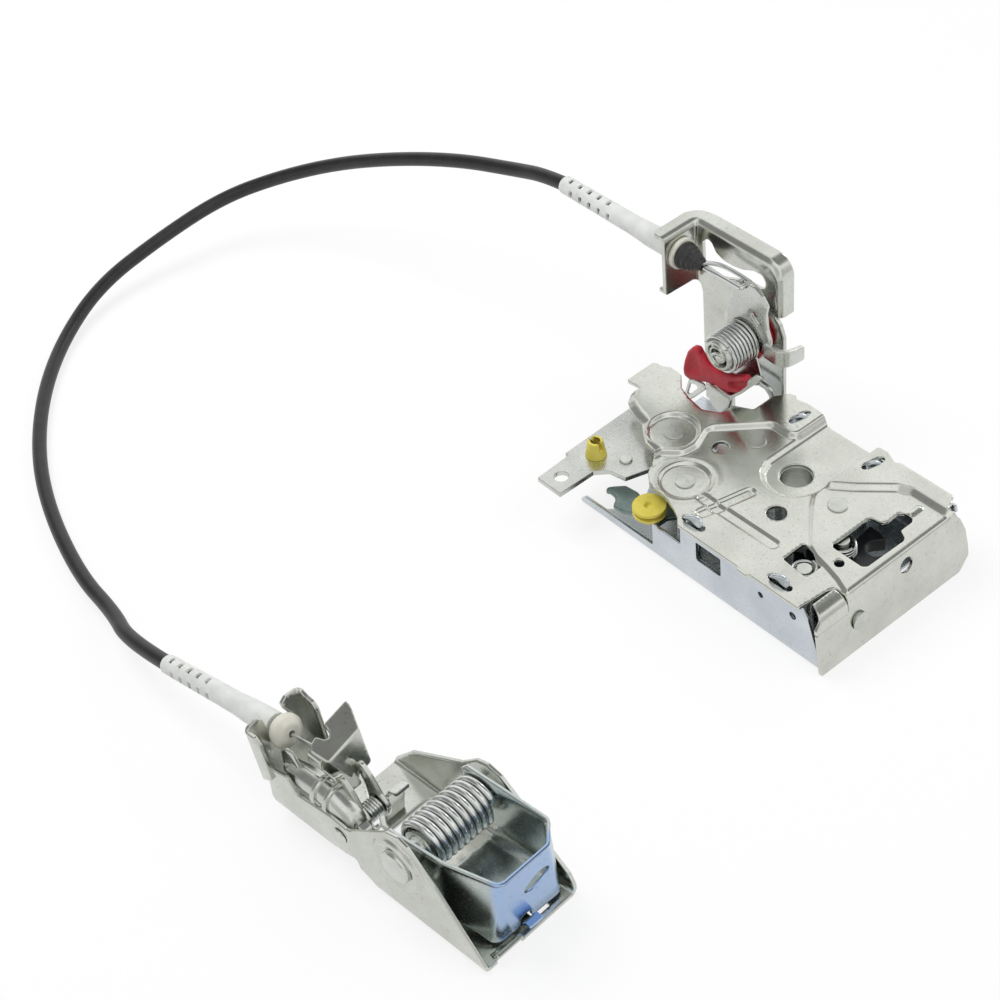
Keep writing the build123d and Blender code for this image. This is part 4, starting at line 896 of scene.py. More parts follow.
def makeCover(spec):
    level = spec["top"] + spec["rightRise"]
    section = [(-spec["reach"], level), (spec["levelEnd"], level), (spec["flangeFoot"], 0)]
    path, _ = bentPath(section, (0, 3.0, 0))

    def surface(s, t, depth):
        px, pz, nx, nz = path(s + spec["reach"])
        h = coverHeight(s, t, spec) - spec["rightRise"]
        h = np.where(s > 80, 0, h) - depth
        return np.stack([px + nx * h, t, pz + nz * h], 1)

    loops = [roundLoop(spec[key], radius, step) for key, radius, step in
             (("outline", 1.6, 0.9), ("cutout", 2.0, 0.7), ("smallWindow", 1.4, 0.7))]
    loops += [circleLoop(at, radius, max(20, int(radius * 9))) for at, radius in spec["holes"]]
    loops += [slotLoop(at, size, turn) for at, size, turn in spec["earSlots"]]
    features = [roundLoop(spec[k], 5, 3) for k in ("leftPlateau", "rightPlateau", "tube")]

    def busy(p):
        near = np.min([distanceTo(p, f) for f in features], 0) < 3.4
        near |= distanceTo(p, roundLoop(spec["farBand"], 5, 3)) < 5
        for key in ("releaseDish", "lockDish"):
            (cx, cy), radius, depth = spec[key]
            near |= np.abs(np.hypot(p[:, 0] - cx, p[:, 1] - cy) - radius) < 3.2
        for rib in spec["ribs"]:
            near |= np.abs(ribDistance(p, rib) - rib[2] / 2) < 1.8
        near |= (p[:, 0] > 74) & (p[:, 0] < 80)
        near |= (p[:, 0] > 55) & (p[:, 0] < 67) & (p[:, 1] > 35) & (p[:, 1] < 46)
        return near & (p[:, 0] < 80)

    def atSeam(p):
        # the flange's edge that meets the shoulder stays sharp
        return (p[:, 1] < -27.4) & (p[:, 0] > 80) & (p[:, 0] < 89.6)

    sheet = fineSheet(loops, surface, spec["thickness"], coarse=1.7, fine=0.62, busy=busy, edge=0.35, seams=atSeam)
    shoulder = bentSheet(spec["shoulder"], (0, 8, 0), [spec["shoulderOutline"]], alongX, spec["thickness"],
                         coarse=1.6, fine=0.8, corner=0.4, seams=lambda p: p[:, 0] > 16.4)
    placePiece("coverPlate", [sheet, shoulder], "zincSteel", "cover_plate")


makeCover(cover)
print("cover pressed")


# the lock's housing: far wall, floor and near wall bent from one sheet, with its ears

housing = {
    "section": [(61.5, 36), (61.5, 0), (-48, 0), (-48, 36)],  # y and z of the outside, from the far wall's top
    "bend": 3.0, "thickness": 2.0,
    # pattern: distance along that section, then x
    "outline": [
        (146.9, -98), (149.9, -95), (149.9, -41.5), (165.9, -41.5), (165.9, -38.5), (164.9, -37.5),
        (164.9, -20), (178.925, -20),
        (178.925, 65.5), (173.9, 70.5), (164.9, 73.5), (145.9, 79.9), (141.2, 79.7), (37.7, 79.2), (33, 78.4),
        (0, 71.5), (0, 16),
        (2.9, 16), (2.9, -24), (0, -24), (0, -46), (22, -48), (24, -62), (33, -62), (56.2, -62), (56.2, -90),
        (36, -90),
        (36, -112.5), (74.2, -112.5), (90.2, -86), (110.2, -80), (126.2, -70), (131.2, -76), (139.2, -84),
        (142.5, -88), (142.9, -98),
    ],
    "window": [(161.5, -8.5), (174, -8.5), (174, 9.5), (161.5, 9.5)],
    "holes": [((168.6, 38), 1.8), ((169.6, 60.2), 2.3), ((75.3, -3), 8.5)],
    "mouth": [
        (96.2, 72.4), (37.7, 72.4), (33, 74.4), (4, 74.4), (4, 58.4), (33, 58.4), (37.7, 60.4), (96.2, 60.4),
        (99.2, 61.2), (101.4, 63.4), (102.2, 66.4), (101.4, 69.4), (99.2, 71.6),
    ],
    "ears": [
        ((-14.5, -43.4), 0, 22, 43.0, 5.8), ((47, -43.4), 0, 22, 43.0, 5.8), ((-29.4, 52), 90, -34, 42.6, 4.6),
        ((24.3, 50.4), 90, -34, 43.6, 4.6),
    ],
}


def earPlate(at, heading, twist, top, half):
    # lanced ear: straight up to the cover, then turned by twist so that it can't pull back
    t = np.linspace(0, pi, 13)
    arch = half * 0.75
    crown = np.stack([half * np.cos(t), top - arch + arch * np.sin(t)], 1)
    shank, shoulder = 4.5, top - arch - 1.2
    outline = np.concatenate([[(-shank, 1), (shank, 1), (shank, shoulder)], crown, [(-shank, shoulder)]])

    def surface(s, z, depth):
        turn = radians(heading) + radians(twist) * smoothStep((z - top + 5.5) / 3.6)
        side = 1.0 - depth
        x = at[0] + s * np.cos(turn) - side * np.sin(turn)
        y = at[1] + s * np.sin(turn) + side * np.cos(turn)
        return np.stack([x, y, z], 1)

    return fineSheet([roundLoop(outline, 0.4, 0.8)], surface, 2.0, coarse=1.6, fine=0.8,
                     busy=lambda p: p[:, 1] > top - 7, edge=0.35)


def makeHousing(spec):
    loops = [roundLoop(spec[key], radius, step) for key, radius, step in
             (("outline", 0.8, 0.9), ("window", 1.0, 0.7), ("mouth", 0.5, 0.9))]
    loops += [circleLoop(at, radius, max(18, int(radius * 7))) for at, radius in spec["holes"]]
    body = bentSheet(spec["section"], spec["bend"], loops, alongY, spec["thickness"], coarse=3.0, fine=0.9,
                     edge=0.35)
    ears = [earPlate(*ear) for ear in spec["ears"]]
    placePiece("baseHousing", [body] + ears, "wallZinc", "base_housing")


makeHousing(housing)
print("housing bent")


# the cable bracket: cheek, head and neck are one plate with a rim drawn round its head

bracket = {
    "plan": [(-116, 37.5), (-116, 61.5), (-50, 61.5)],  # x and y of the front face
    "bend": 2.0, "thickness": 2.5, "rimBend": 4.0,
    "rimCorner": (74.54, 112.0), "rimCornerRadius": 7.0, "rimTop": 119.0, "rimSide": 81.54, "rimFoot": 88.0,
    # pattern: distance along the plan, then z; the outer corner's arc is added in the code
    "outline": [
        (0, 85), (20.5, 84.2), (23.4, 82.8), (25.4, 80.2), (26.6, 76), (26.64, 0), (48.14, 0), (48.14, 30),
        (51.14, 33.5), (74.14, 33.5), (77.14, 30.5),
        (77.14, 0), (87.74, 0), (87.74, 76), (84.94, 84), (81.54, 87.4), (81.54, 88), (94.3, 88),
    ],
    "cornerReach": 19.78,
    "afterCorner": [(30, 131.78), (20, 130.8), (2.5, 130.8), (0, 129.0)],
    "window": [
        (27.6, 95), (27.4, 110.4), (31.5, 114.6), (34.6, 113), (37.6, 108.4), (43.0, 106.0), (50.6, 105.9),
        (58, 107.4), (65.6, 110.6), (71.6, 111.0),
        (74.6, 107.6), (74.0, 103.0), (70.2, 101.2), (62, 100.8), (52, 97.6), (41, 93.2),
    ],
    "ferruleHole": ((11.3, 108.5), 6.6),
    "tab": [(-116.05, 87.9), (-116.05, 84.4), (-122.35, 84.8)],
    "hem": [
        (77.14, 15), (80.4, 15), (80.4, 32), (77.1, 37.6), (55.1, 38.6), (48, 38.4), (45.5, 35), (45.5, 15),
        (48.14, 15), (48.14, 30), (51.14, 33.5), (74.14, 33.5), (77.14, 30.5),
    ],
}


def makeBracket(spec):
    at, _ = bentPath(spec["plan"], spec["bend"])
    centre, radius, bend = np.array(spec["rimCorner"]), spec["rimCornerRadius"], spec["rimBend"]
    hem = roundLoop(spec["hem"], 2.0, 1.5)

    def surface(s, t, depth):
        # Past the rim's bend line the plate turns back: place = line + R sin f outwards and
        # R (1 - cos f) + rest backwards, with f = distance / R up to a quarter turn.
        q = np.stack([s, t], 1)
        out = np.zeros((len(s), 2))
        top = (t > spec["rimTop"]) & (s <= centre[0])
        side = (s > spec["rimSide"]) & (t >= spec["rimFoot"]) & (t <= centre[1])
        spoke = q - centre
        reach = np.hypot(spoke[:, 0], spoke[:, 1])
        corner = (s > centre[0]) & (t > centre[1]) & (reach > radius)
        past = np.select([top, side, corner], [t - spec["rimTop"], s - spec["rimSide"], reach - radius], -1.0)
        away = spoke / np.maximum(reach, 1e-9)[:, None]
        out[top] = (0, 1)
        out[side] = (1, 0)
        out[corner] = away[corner]
        q[top, 1] = spec["rimTop"]
        q[side, 0] = spec["rimSide"]
        q[corner] = centre + radius * away[corner]
        x, y, nx, ny = at(q[:, 0])
        front = unit(np.stack([-nx, -ny, np.zeros(len(s))], 1))
        run = np.stack([-front[:, 1], front[:, 0], np.zeros(len(s))], 1)
        outward = out[:, :1] * run + out[:, 1:] * upward
        turn = np.clip(past / bend, 0, pi / 2)
        rest = np.maximum(past - bend * pi / 2, 0)
        lift = 0.8 * smoothStep(signedTo(np.stack([s, t], 1), hem) / 1.6 + 0.5)
        place = np.stack([x, y, q[:, 1]], 1) + outward * (bend * np.sin(turn))[:, None]
        place -= front * (bend * (1 - np.cos(turn)) + rest)[:, None]
        normal = front * np.cos(turn)[:, None] + outward * np.sin(turn)[:, None]
        return place + normal * (lift - depth)[:, None]

    turns = np.linspace(0, pi / 2, 22)
    arc = centre + spec["cornerReach"] * np.stack([np.cos(turns), np.sin(turns)], 1)
    outline = np.concatenate([spec["outline"], arc, spec["afterCorner"]])
    hole, holeRadius = spec["ferruleHole"]
    loops = [roundLoop(outline, 1.2, 0.9), roundLoop(spec["window"], 3.0, 0.7), circleLoop(hole, holeRadius, 40)]

    def busy(p):
        s, t = p.T
        wide = bend * 1.6 + 0.8
        near = (t > spec["rimTop"] - 0.8) & (t < spec["rimTop"] + wide) & (s < centre[0] + 1)
        near |= (s > spec["rimSide"] - 0.8) & (s < spec["rimSide"] + wide) & (t > 87) & (t < centre[1] + 1)
        near |= (s > centre[0] - 1) & (t > centre[1] - 1)
        near |= (s > 21.4) & (s < 25.8)
        return near | (distanceTo(p, hem) < 1.6)

    plate = fineSheet(loops, surface, spec["thickness"], coarse=2.2, fine=0.8, busy=busy, edge=0.4)
    tab = bentSheet(spec["tab"], (0, 2.6, 0), [[(1.2, 38.2), (8.6, 38.2), (8.6, 43.2), (1.2, 43.2)]],
                    alongX, 2.2, coarse=1.4, fine=0.7, corner=0.8)
    placePiece("cableBracket", [plate, tab], "bracketSteel", "cable_bracket")


makeBracket(bracket)
print("bracket drawn")


# springs: real wire, wound and with its ends


def cutCorners(line, rounds=3):
    # each round replaces a corner by two points a quarter of the way into its sides
    for _ in range(rounds):
        a, c = line[:-1], line[1:]
        cut = np.stack([0.75 * a + 0.25 * c, 0.25 * a + 0.75 * c], 1).reshape(-1, 3)
        line = np.concatenate([line[:1], cut, line[-1:]])
    return line


def softRun(points, start):
    # leg through points from the coil's end, sampled finely
    line = cutCorners(np.concatenate([start[None], np.asarray(points, float)]))
    return np.concatenate([
        a + (c - a) * np.linspace(0, 1, max(2, int(np.linalg.norm(c - a) / 0.8) + 1))[1:, None]
        for a, c in zip(line[:-1], line[1:])])


def windCoil(centre, axis, start, turns, wire, meanRadius, firstAngle, reference,
             head=None, tail=None, stepsPerTurn=40, pitch=1.01):
    # Helix: centre + r (cos a * n + sin a * b) + (start + wire * pitch * a / 2 pi) * axis, with a
    # leg through further points off either end.
    axis = np.asarray(axis, float)
    n = unit(np.asarray(reference, float))
    b = np.cross(axis, n)
    a = np.linspace(0, 2 * pi * turns, int(turns * stepsPerTurn) + 1)
    spin = a + radians(firstAngle)
    rise = start + wire / 2 + wire * pitch * a / (2 * pi)
    circle = meanRadius * (np.cos(spin)[:, None] * n + np.sin(spin)[:, None] * b)
    path = np.asarray(centre, float) + circle + rise[:, None] * axis
    if head:
        path = np.concatenate([softRun(head, path[0])[::-1], path])
    if tail:
        path = np.concatenate([path, softRun(tail, path[-1])])
    return tubeAlong(path, wire / 2, axis, sides=12)


barrel = {"x": -70.0, "z": 73.0, "front": 30.0, "radius": 9.0, "bore": 6.8, "core": 3.3}
barrelMiddle, eastward, northward = (barrel["x"], 0, barrel["z"]), (1, 0, 0), (0, 1, 0)
frontHead = [(-59.0, 30.6, 80), (-61, 29.6, 84.5)]
rearTail = [
    (-82.6, 57.6, 62), (-82, 57.4, 48), (-79.6, 57.0, 43.8), (-70, 57.0, 42.8), (-58.4, 57.0, 42.4),
    (-55.4, 57.2, 40), (-54.9, 58.0, 34),
]
catchHead = [latchPoint(-40.5, 13.4, 27), latchPoint(-36, 12.4, 20)]
catchTail = [latchPoint(-64.2, 48.4, 30), latchPoint(-69, 48.4, 24)]
# node, then centre, axis, start, turns, wire, mean radius, first angle, reference and legs
springs = {
    "frontSpring": ("front_coil", (
        barrelMiddle, northward, 31.0, 7.4, 1.9, 10.85, 200, eastward, frontHead, None, 44, 1.26)),
    "rearSpring": ("rear_coil", (barrelMiddle, northward, 53.9, 2.2, 1.9, 10.85, 40, eastward, None, rearTail)),
    "catchSpring": ("catch_spring", (
        latchPoint(-52.0, 0, 36.4), acrossLatch, 12.8, 9.5, 3.5, 11.5, 150, alongLatch, catchHead, catchTail,
        44, 1.1)),
    "triggerSpring": ("trigger_spring", (
        latchPoint(-93, 0, 24), acrossLatch, 15.2, 5, 1.6, 4.6, 200, alongLatch, None, None, 28)),
    "clawSpring": ("claw_spring", ((47.5, 1.5, 0), upward, 27.4, 3, 2.0, 7.0, 0, eastward, None, None, 32)),
    "pawlSpring": ("pawl_spring", ((47, -25.5, 0), upward, 26.0, 5, 1.7, 6.2, 90, eastward, None, None, 32)),
}
for name, (node, winding) in springs.items():
    placePiece(name, [windCoil(*winding)], "springSteel", node, crease=60)
print("springs wound")


# the bracket's moving parts


def plateOf(loops, place, thickness, coarse=2.2, edge=0.4, corner=1.5, fine=None, busy=None, rise=None):
    # flat plate: pattern points go to place(s, t, depth), the first loop is the outline, and long
    # loops are round already
    rounded = [roundLoop(loop, corner, 0.9) if len(loop) < 40 else np.asarray(loop) for loop in loops]

    def surface(s, t, depth):
        return place(s, t, depth if rise is None else depth - rise(s, t) * (1 - depth / thickness))

    return fineSheet(rounded, surface, thickness, coarse=coarse, fine=fine, busy=busy, edge=edge)


def acrossY(front):
    # plate in x and z, its near face at y = front
    return lambda s, t, depth: np.stack([s, front + depth, t], 1)


def softTube(points, radius):
    # round wire through a few points; its section starts square to its chord
    line = cutCorners(np.asarray(points, float))
    across = np.cross(line[-1] - line[0], (0.31, 0.17, 0.93))
    return tubeAlong(line, radius, unit(across), sides=12)


def washer(bore, radius, length, bevel, start, axis, sides):
    # ring turned from its section, both outer edges bevelled by (along, inwards)
    along, inwards = bevel
    shoulder = radius - inwards
    section = [(0, bore), (0, shoulder), (along, radius), (length - along, radius), (length, shoulder),
               (length, bore), (0, bore)]
    return turnedSolid(section, start, axis, sides=sides)


cableLever = {
    "front": 51.0, "thickness": 2.5,
    "outline": [
        (-83.4, 73), (-85.2, 80), (-84.2, 86), (-79.6, 98), (-76.6, 108.2), (-73.6, 110.6), (-72.2, 110.9),
        (-72.1, 107.6), (-67.9, 107.6), (-67.8, 111.2),
        (-63, 110.8), (-57, 107.4), (-53.2, 102.6), (-54.6, 97), (-53.6, 87), (-51.4, 80.6), (-51.4, 70.4),
        (-57.6, 68.4), (-59.4, 64.6), (-64, 61),
        (-70, 59.8), (-77, 61.4), (-82, 66.4),
    ],
    "slot": ((-61.3, 90.5), (9.6, 4.2), -42),
    # the hook's section is x and y of its front face; across it is z
    "hook": [(-54, 51.0), (-41.5, 51.0), (-40.9, 58), (-40.9, 64.2)],
    "hookOutline": [(0, 70.6), (0, 79.4), (12, 80.2), (24.2, 77.4), (24.2, 68.4), (12, 69.6)],
}


def makeCableLever(spec):
    loops = [spec["outline"], slotLoop(*spec["slot"])]
    plate = plateOf(loops, acrossY(spec["front"]), spec["thickness"], coarse=2.0, edge=0.5, corner=2.5)
    hook = bentSheet(spec["hook"], (0, 4.0, 2.0, 0), [spec["hookOutline"]], levelAlong, spec["thickness"],
                     coarse=1.8, fine=0.8, corner=1.2)
    placePiece("cableLever", [plate, hook], "leverSteel", "cable_lever", "cable_lever")


upperWire = {
    "radius": 1.25,
    "rails": [
        [(-99.5, 48.4, 107.7), (-92, 48.6, 107.9), (-86, 48.6, 108.3), (-70.2, 48.6, 108.4)],
        [(-99.5, 49.8, 109.3), (-95, 53, 109.4), (-89, 55.6, 109.0), (-74, 55.9, 108.7), (-66, 55.9, 107.6),
         (-61, 55.7, 104.2), (-58.6, 55.6, 99.6), (-59.4, 55.6, 95.8)],
    ],
    "sleeve": [(0, 0), (0, 1.2), (0.3, 1.6), (11.5, 1.6), (12, 1.2), (12, 0)],
    "nipple": [(0, 0), (0, 1.0), (0.3, 1.3), (8.2, 1.3), (8.5, 1.0), (8.5, 0)],
}


def makeUpperWire(spec):
    parts = [softTube(rail, spec["radius"]) for rail in spec["rails"]]
    parts.append(turnedSolid(spec["sleeve"], (-111, 48.8, 108.5), eastward, sides=20))
    parts.append(turnedSolid(spec["nipple"], (-70, 48.0, 108.5), northward, sides=18))
    placePiece("upperWire", parts, "springSteel", "upper_wire", "upper_wire", crease=60)


def makeBarrel(spec):
    # slotted hollow pin: a rim turned from a section, a round core, and a split strip and a tongue in it
    x, z, front, bore, radius, heart = (spec[key] for key in ("x", "z", "front", "bore", "radius", "core"))
    end, step, narrow = 31.4, 9, 4
    section = [(0.6, bore), (0, bore + 0.5), (0, radius - 0.6), (0.6, radius), (end, radius), (end, narrow),
               (step, narrow), (step, bore), (0.6, bore)]
    tube = turnedSolid(section, (x, front, z), northward, sides=60)
    section = [(step, 0), (step, heart), (1.2, heart), (0.2, heart - 0.9), (-0.2, heart - 1.8), (-0.2, 0)]
    core = turnedSolid(section, (x + 0.8, front, z - 1.6), northward, sides=32)
    t = np.linspace(radians(20), radians(285), 40)
    curl = np.stack([x + 5.3 * np.cos(t), np.full(40, front + 0.6), z + 5.3 * np.sin(t)], 1)
    strip = [tubeAlong(curl + (0, deep, 0), 0.75, northward, sides=10) for deep in (0.0, 1.5, 3.0)]
    tongue = softTube([(x + 5.0, front + 0.6, z + 1.8), (x + 1.5, front - 0.2, z + 3.2),
                       (x - 2.2, front - 0.3, z + 1.0), (x - 4.6, front + 0.8, z - 2.4)], 0.95)
    parts = [tube, core, tongue] + strip
    placePiece("bracketBarrel", parts, "studSteel", "bracket_barrel", crease=45)


rocker = {
    "front": 34.8, "thickness": 4.6,
    "outline": [
        (-88.6, 60.6), (-90.6, 63.6), (-94.6, 62.4), (-98.4, 57.4), (-101.0, 50), (-102.4, 43.4),
        (-102.0, 38.6), (-98.4, 37.6), (-91.6, 39.8), (-84, 43.4),
        (-76, 45.2), (-67.6, 46.0), (-60, 49.8), (-54.4, 55.4), (-52.2, 60.0), (-52.6, 63.4), (-55.6, 64.2),
        (-58.6, 62.4), (-62.4, 59.8),
        (-68.6, 57.6), (-75.6, 56.0), (-82, 56.2),
    ],
    "lobe": [(-90.6, 61.6), (-96.6, 57), (-99.6, 48), (-100.2, 40.6), (-92, 42.8), (-86, 47), (-86.4, 54)],
    "seat": [(-66.5, 50.4), (-66, 54.4), (-58, 58.8), (-53.8, 62.4), (-53.2, 59.2), (-58, 53.6)],
    "bar": [(-86, 55.4), (-79.2, 55.0), (-78.6, 61.6), (-84.6, 65)],
}


def makeRocker(spec):
    # the lobe is dished and the seat is a pocket
    lobe, seat = roundLoop(spec["lobe"], 2.5, 1.2), roundLoop(spec["seat"], 1.6, 1.0)

    def rise(s, t):
        p = np.stack([s, t], 1)
        return -0.7 * smoothStep(signedTo(p, lobe) / 4.0) - 2.0 * smoothStep(signedTo(p, seat) / 1.0 + 0.5)

    def busy(p):
        return distanceTo(p, seat) < 1.6

    body = plateOf([spec["outline"]], acrossY(spec["front"]), spec["thickness"], coarse=1.6, edge=1.2, corner=2.2,
                   fine=0.7, busy=busy, rise=rise)
    # behind the coil a half collar hangs on the barrel; a bar joins it to the rocker
    t = np.linspace(radians(190), radians(350), 30)
    arcs = [np.stack([barrel["x"] + r * np.cos(way), barrel["z"] + r * np.sin(way)], 1)
            for r, way in ((13.4, t), (9.2, t[::-1]))]
    collar = plateOf([np.concatenate(arcs)], acrossY(49.75), 1.1, coarse=1.8, edge=0.25)
    bar = plateOf([spec["bar"]], acrossY(38.6), 12.0, coarse=2.4, edge=0.5, corner=1)
    placePiece("redRocker", [body, collar, bar], "redPlastic", "red_rocker", "rocker", crease=60)


carrier = {
    "tray": [(-49.6, 65.2), (-50.6, 59.6), (-55.0, 53.6), (-63.6, 44.9), (-80.4, 44.4)],
    "trayOutline": [
        (0.4, 34.4), (0.4, 41), (8, 47.5), (20, 49.4), (37, 49.4), (37, 34.4), (30, 33.4), (12, 33.4),
    ],
    "flange": [(-80.4, 45.6), (-80.4, 33), (-73, 27.2), (-65.2, 36.6), (-62.8, 45.4)],
    "leaf": [(-97.2, 38.6), (-93.2, 40.9), (-86, 42.2), (-83, 40), (-93.6, 27.4), (-98.9, 21.8), (-101.9, 23.4)],
    "leafWindow": [(-95.6, 37), (-88.4, 38.6), (-95.4, 29.6), (-98.9, 26.4)],
    "arm": [(-84.4, 41.6), (-80, 45.6), (-78.6, 44.4), (-82.6, 39.6)],
    "cheek": [(-81, 68), (-59, 68), (-55.5, 56.4), (-58, 48.4), (-64, 44.4), (-78, 44.0), (-81, 53)],
    "cheekFront": 48.2, "thickness": 1.5,
}


def makeCarrier(spec):
    # tray bent round the rocker's lower edge, a front flange, a wire-like leaf at its left and the
    # cheek that carries it on the barrel
    thickness = spec["thickness"]
    back = acrossY(spec["cheekFront"])
    parts = [
        bentSheet(spec["tray"], (0, 4, 5, 6, 0), [spec["trayOutline"]], alongX, 1.6, coarse=1.5, fine=0.8,
                  corner=1.2),
        plateOf([spec["flange"]], acrossY(33.2), 1.7, coarse=1.8, edge=0.5, corner=1.6),
        plateOf([spec["leaf"], spec["leafWindow"]], acrossY(34.0), thickness, coarse=1.5, edge=0.5, corner=1.4),
        plateOf([spec["arm"]], acrossY(34.0), thickness, coarse=1.5, edge=0.3, corner=0.4),
        plateOf([spec["cheek"]], back, thickness, coarse=2.4, edge=0.4),
        washer(9.1, 12.4, thickness, bevel=(0.3, 0.2), start=(barrel["x"], spec["cheekFront"], barrel["z"]),
               axis=northward, sides=48),
    ]
    placePiece("rockerCarrier", parts, "studSteel", "rocker_carrier", "rocker")


# each turned from its section along the cable: (distance, radius)
mouldings = {
    "ferrule": [
        (0, 2.3), (0, 6.5), (2.5, 6.5), (2.6, 8.6), (3.0, 9.1), (4.6, 9.2), (5.2, 8.8), (5.5, 8.0), (5.5, 2.3),
        (0, 2.3),
    ],
    "boot": [
        (0, 1.9), (0, 7.2), (0.4, 7.7), (1.6, 7.9), (2.4, 7.5), (2.9, 6.7), (3.8, 6.6), (4.3, 7.2), (5.4, 7.3),
        (6.0, 6.8), (6.6, 6.1), (7.5, 6.3), (8.3, 6.1), (8.9, 5.2), (9.6, 4.9), (10.4, 5.0), (11.0, 4.3),
        (11.8, 3.9), (12.6, 4.1), (13.3, 3.5), (14.8, 3.1), (15.2, 2.7), (15.2, 1.9), (0, 1.9),
    ],
    "middle": (48.8, 108.5),  # y and z of the cable's end
    "flutes": 12, "fluteShare": 0.05,
}


def makeMouldings(spec):
    ferrule = turnedSolid(spec["ferrule"], bracketEnd, eastward, sides=56)
    placePiece("upperFerrule", [ferrule], "creamNylon", "upper_ferrule")
    boot, faces = turnedSolid(spec["boot"], (-113, *spec["middle"]), eastward, sides=72)
    # flutes round the middle of the boot: radius * (1 - share * a wave of the angle * two soft ends)
    away = boot[:, 1:] - spec["middle"]
    wave = 0.5 + 0.5 * np.cos(spec["flutes"] * np.arctan2(away[:, 1], away[:, 0]))
    ends = smoothStep((boot[:, 0] + 109.6) / 1.2) * smoothStep((-101.5 - boot[:, 0]) / 1.5)
    boot[:, 1:] = away * (1 - spec["fluteShare"] * wave * ends)[:, None] + spec["middle"]
    placePiece("rubberBoot", [(boot, faces)], "blackRubber", "rubber_boot", crease=35)


lockLever = {
    "top": 20.5, "thickness": 2.5,
    "outline": [
        (-79.3, -46.2), (-80.4, -43.4), (-78.6, -40.6), (-74.4, -35.8), (-66, -34.8), (-57, -37), (-49.5, -30),
        (-49.4, -22), (-44, -15), (-36, -16), (-32.6, -23),
        (-35, -31), (-40, -38), (-40, -45.6), (-47, -46.2), (-56, -47.6), (-61, -50.6), (-67.6, -51.4),
        (-68.8, -49.6), (-70.4, -47.0), (-73.4, -45.2), (-76.8, -44.8),
    ],
    "bore": ((-41.0, -23.3), 4.1),
}


def makeLockLever(spec):
    def level(s, t, depth):
        return np.stack([s, t, spec["top"] - depth], 1)

    loops = [spec["outline"], circleLoop(*spec["bore"])]
    plate = plateOf(loops, level, spec["thickness"], coarse=1.9, edge=0.5, corner=1.6)
    # the lever's darker zinc is painted shade for the cover's shadow over it
    placePiece("lockLever", [plate], "paintedShadeZinc", "lock_lever", "lock_lever")


def makeRearCollar():
    collar = washer(9.1, 11.7, 2.4, bevel=(0.4, 0.5), start=(barrel["x"], 59.0, barrel["z"]), axis=northward,
                    sides=56)
    placePiece("rearCollar", [collar], "redPlastic", "rear_collar")


makeLockLever(lockLever)
makeRearCollar()
makeCableLever(cableLever)
makeUpperWire(upperWire)
makeBarrel(barrel)
makeRocker(rocker)
makeCarrier(carrier)
makeMouldings(mouldings)
print("bracket parts made")


# the second latch: its base is a folded tray, with the catch pin's ring pressed into the near wall

tray = {
    "section": [(61, 60), (61, 0), (0, 0), (0, 60)],  # across the latch and up, outside of the sheet
    "bend": 4.0, "thickness": 2.0,
    # pattern: distance along the section (near wall z is 117.57 + z), then along the latch
    "outline": [
        (121.6, -0.4), (157.2, -28.5), (159.6, -31), (172.4, -44), (174.8, -50), (172.2, -58), (165.6, -66),
        (151.6, -84), (150.1, -88), (151.1, -98),
        (147.6, -122.5), (156.1, -128), (154.2, -134), (151.6, -143.4), (126.8, -143.8), (127.1, -101),
        (131.6, -84.5), (125.1, -83), (121.6, -74), (119.6, -72),
        (115.3, -72), (95, -84), (93, -98), (77, -122), (62.3, -122), (56, -122), (41, -108), (20, -71),
        (10, -60), (7.5, -52), (9.5, -44), (20, -31),
        (23, -28.5), (29, -28.5), (48, -4), (54, -1.2), (62.3, -0.6), (90, -0.6), (95.5, -0.6), (95.5, -2.4),
        (111, -2.4), (111, -0.6),
    ],
    "opening": [(65.3, -92), (93.3, -92), (93.3, -66), (65.3, -66)],
    "slot": [(73.3, -10.4), (83.3, -10.4), (83.3, -4.4), (73.3, -4.4)],
    "hole": ((87.3, -24), 5.5),
    "ring": (153.97, -52.0), "ringRadius": 15.4, "ringLift": 2.1,
    # shelf under the fork, a step from it to the floor, a toe before the cup, a lug and its wing
    "shelf": [(40, 9.2), (2.05, 9.2), (2.05, 14)],
    "shelfOutline": [(0, -143.6), (41.5, -143.6), (41.5, -101), (16, -101), (0, -124)],
    "step": [(22, 9.2), (22, 1.5)],
    "stepOutline": [(0, -101), (7.6, -98), (7.6, -84.5), (0, -86)],
    "toe": [(-5.9, 2.0), (-2.5, 2.4), (-0.6, 6.4)],
    "toeOutline": [(0, 7.6), (7.4, 7.6), (7.4, 23.6), (0, 23.6)],
    "lug": [(30, 1), (42, 1), (42, 20), (39.4, 24), (32.6, 24), (30, 20)],
    "wing": [(-95.8, 22.4), (-94.2, 25.8), (-87.8, 28.2)],
    "wingOutline": [(0.2, 31.4), (9.6, 31.4), (9.6, 40.6), (0.2, 40.6)],
}


def inLatch(a, b, across):
    # section across the latch and up, its other direction along the latch
    return latchPoint(across, a, b)


def alongCatch(a, b, across):
    # section along the latch and up
    return latchPoint(a, across, b)


def upright(v):
    # plate along the latch, its near face at v across it
    return lambda s, t, depth: latchPoint(s, v + depth, t)


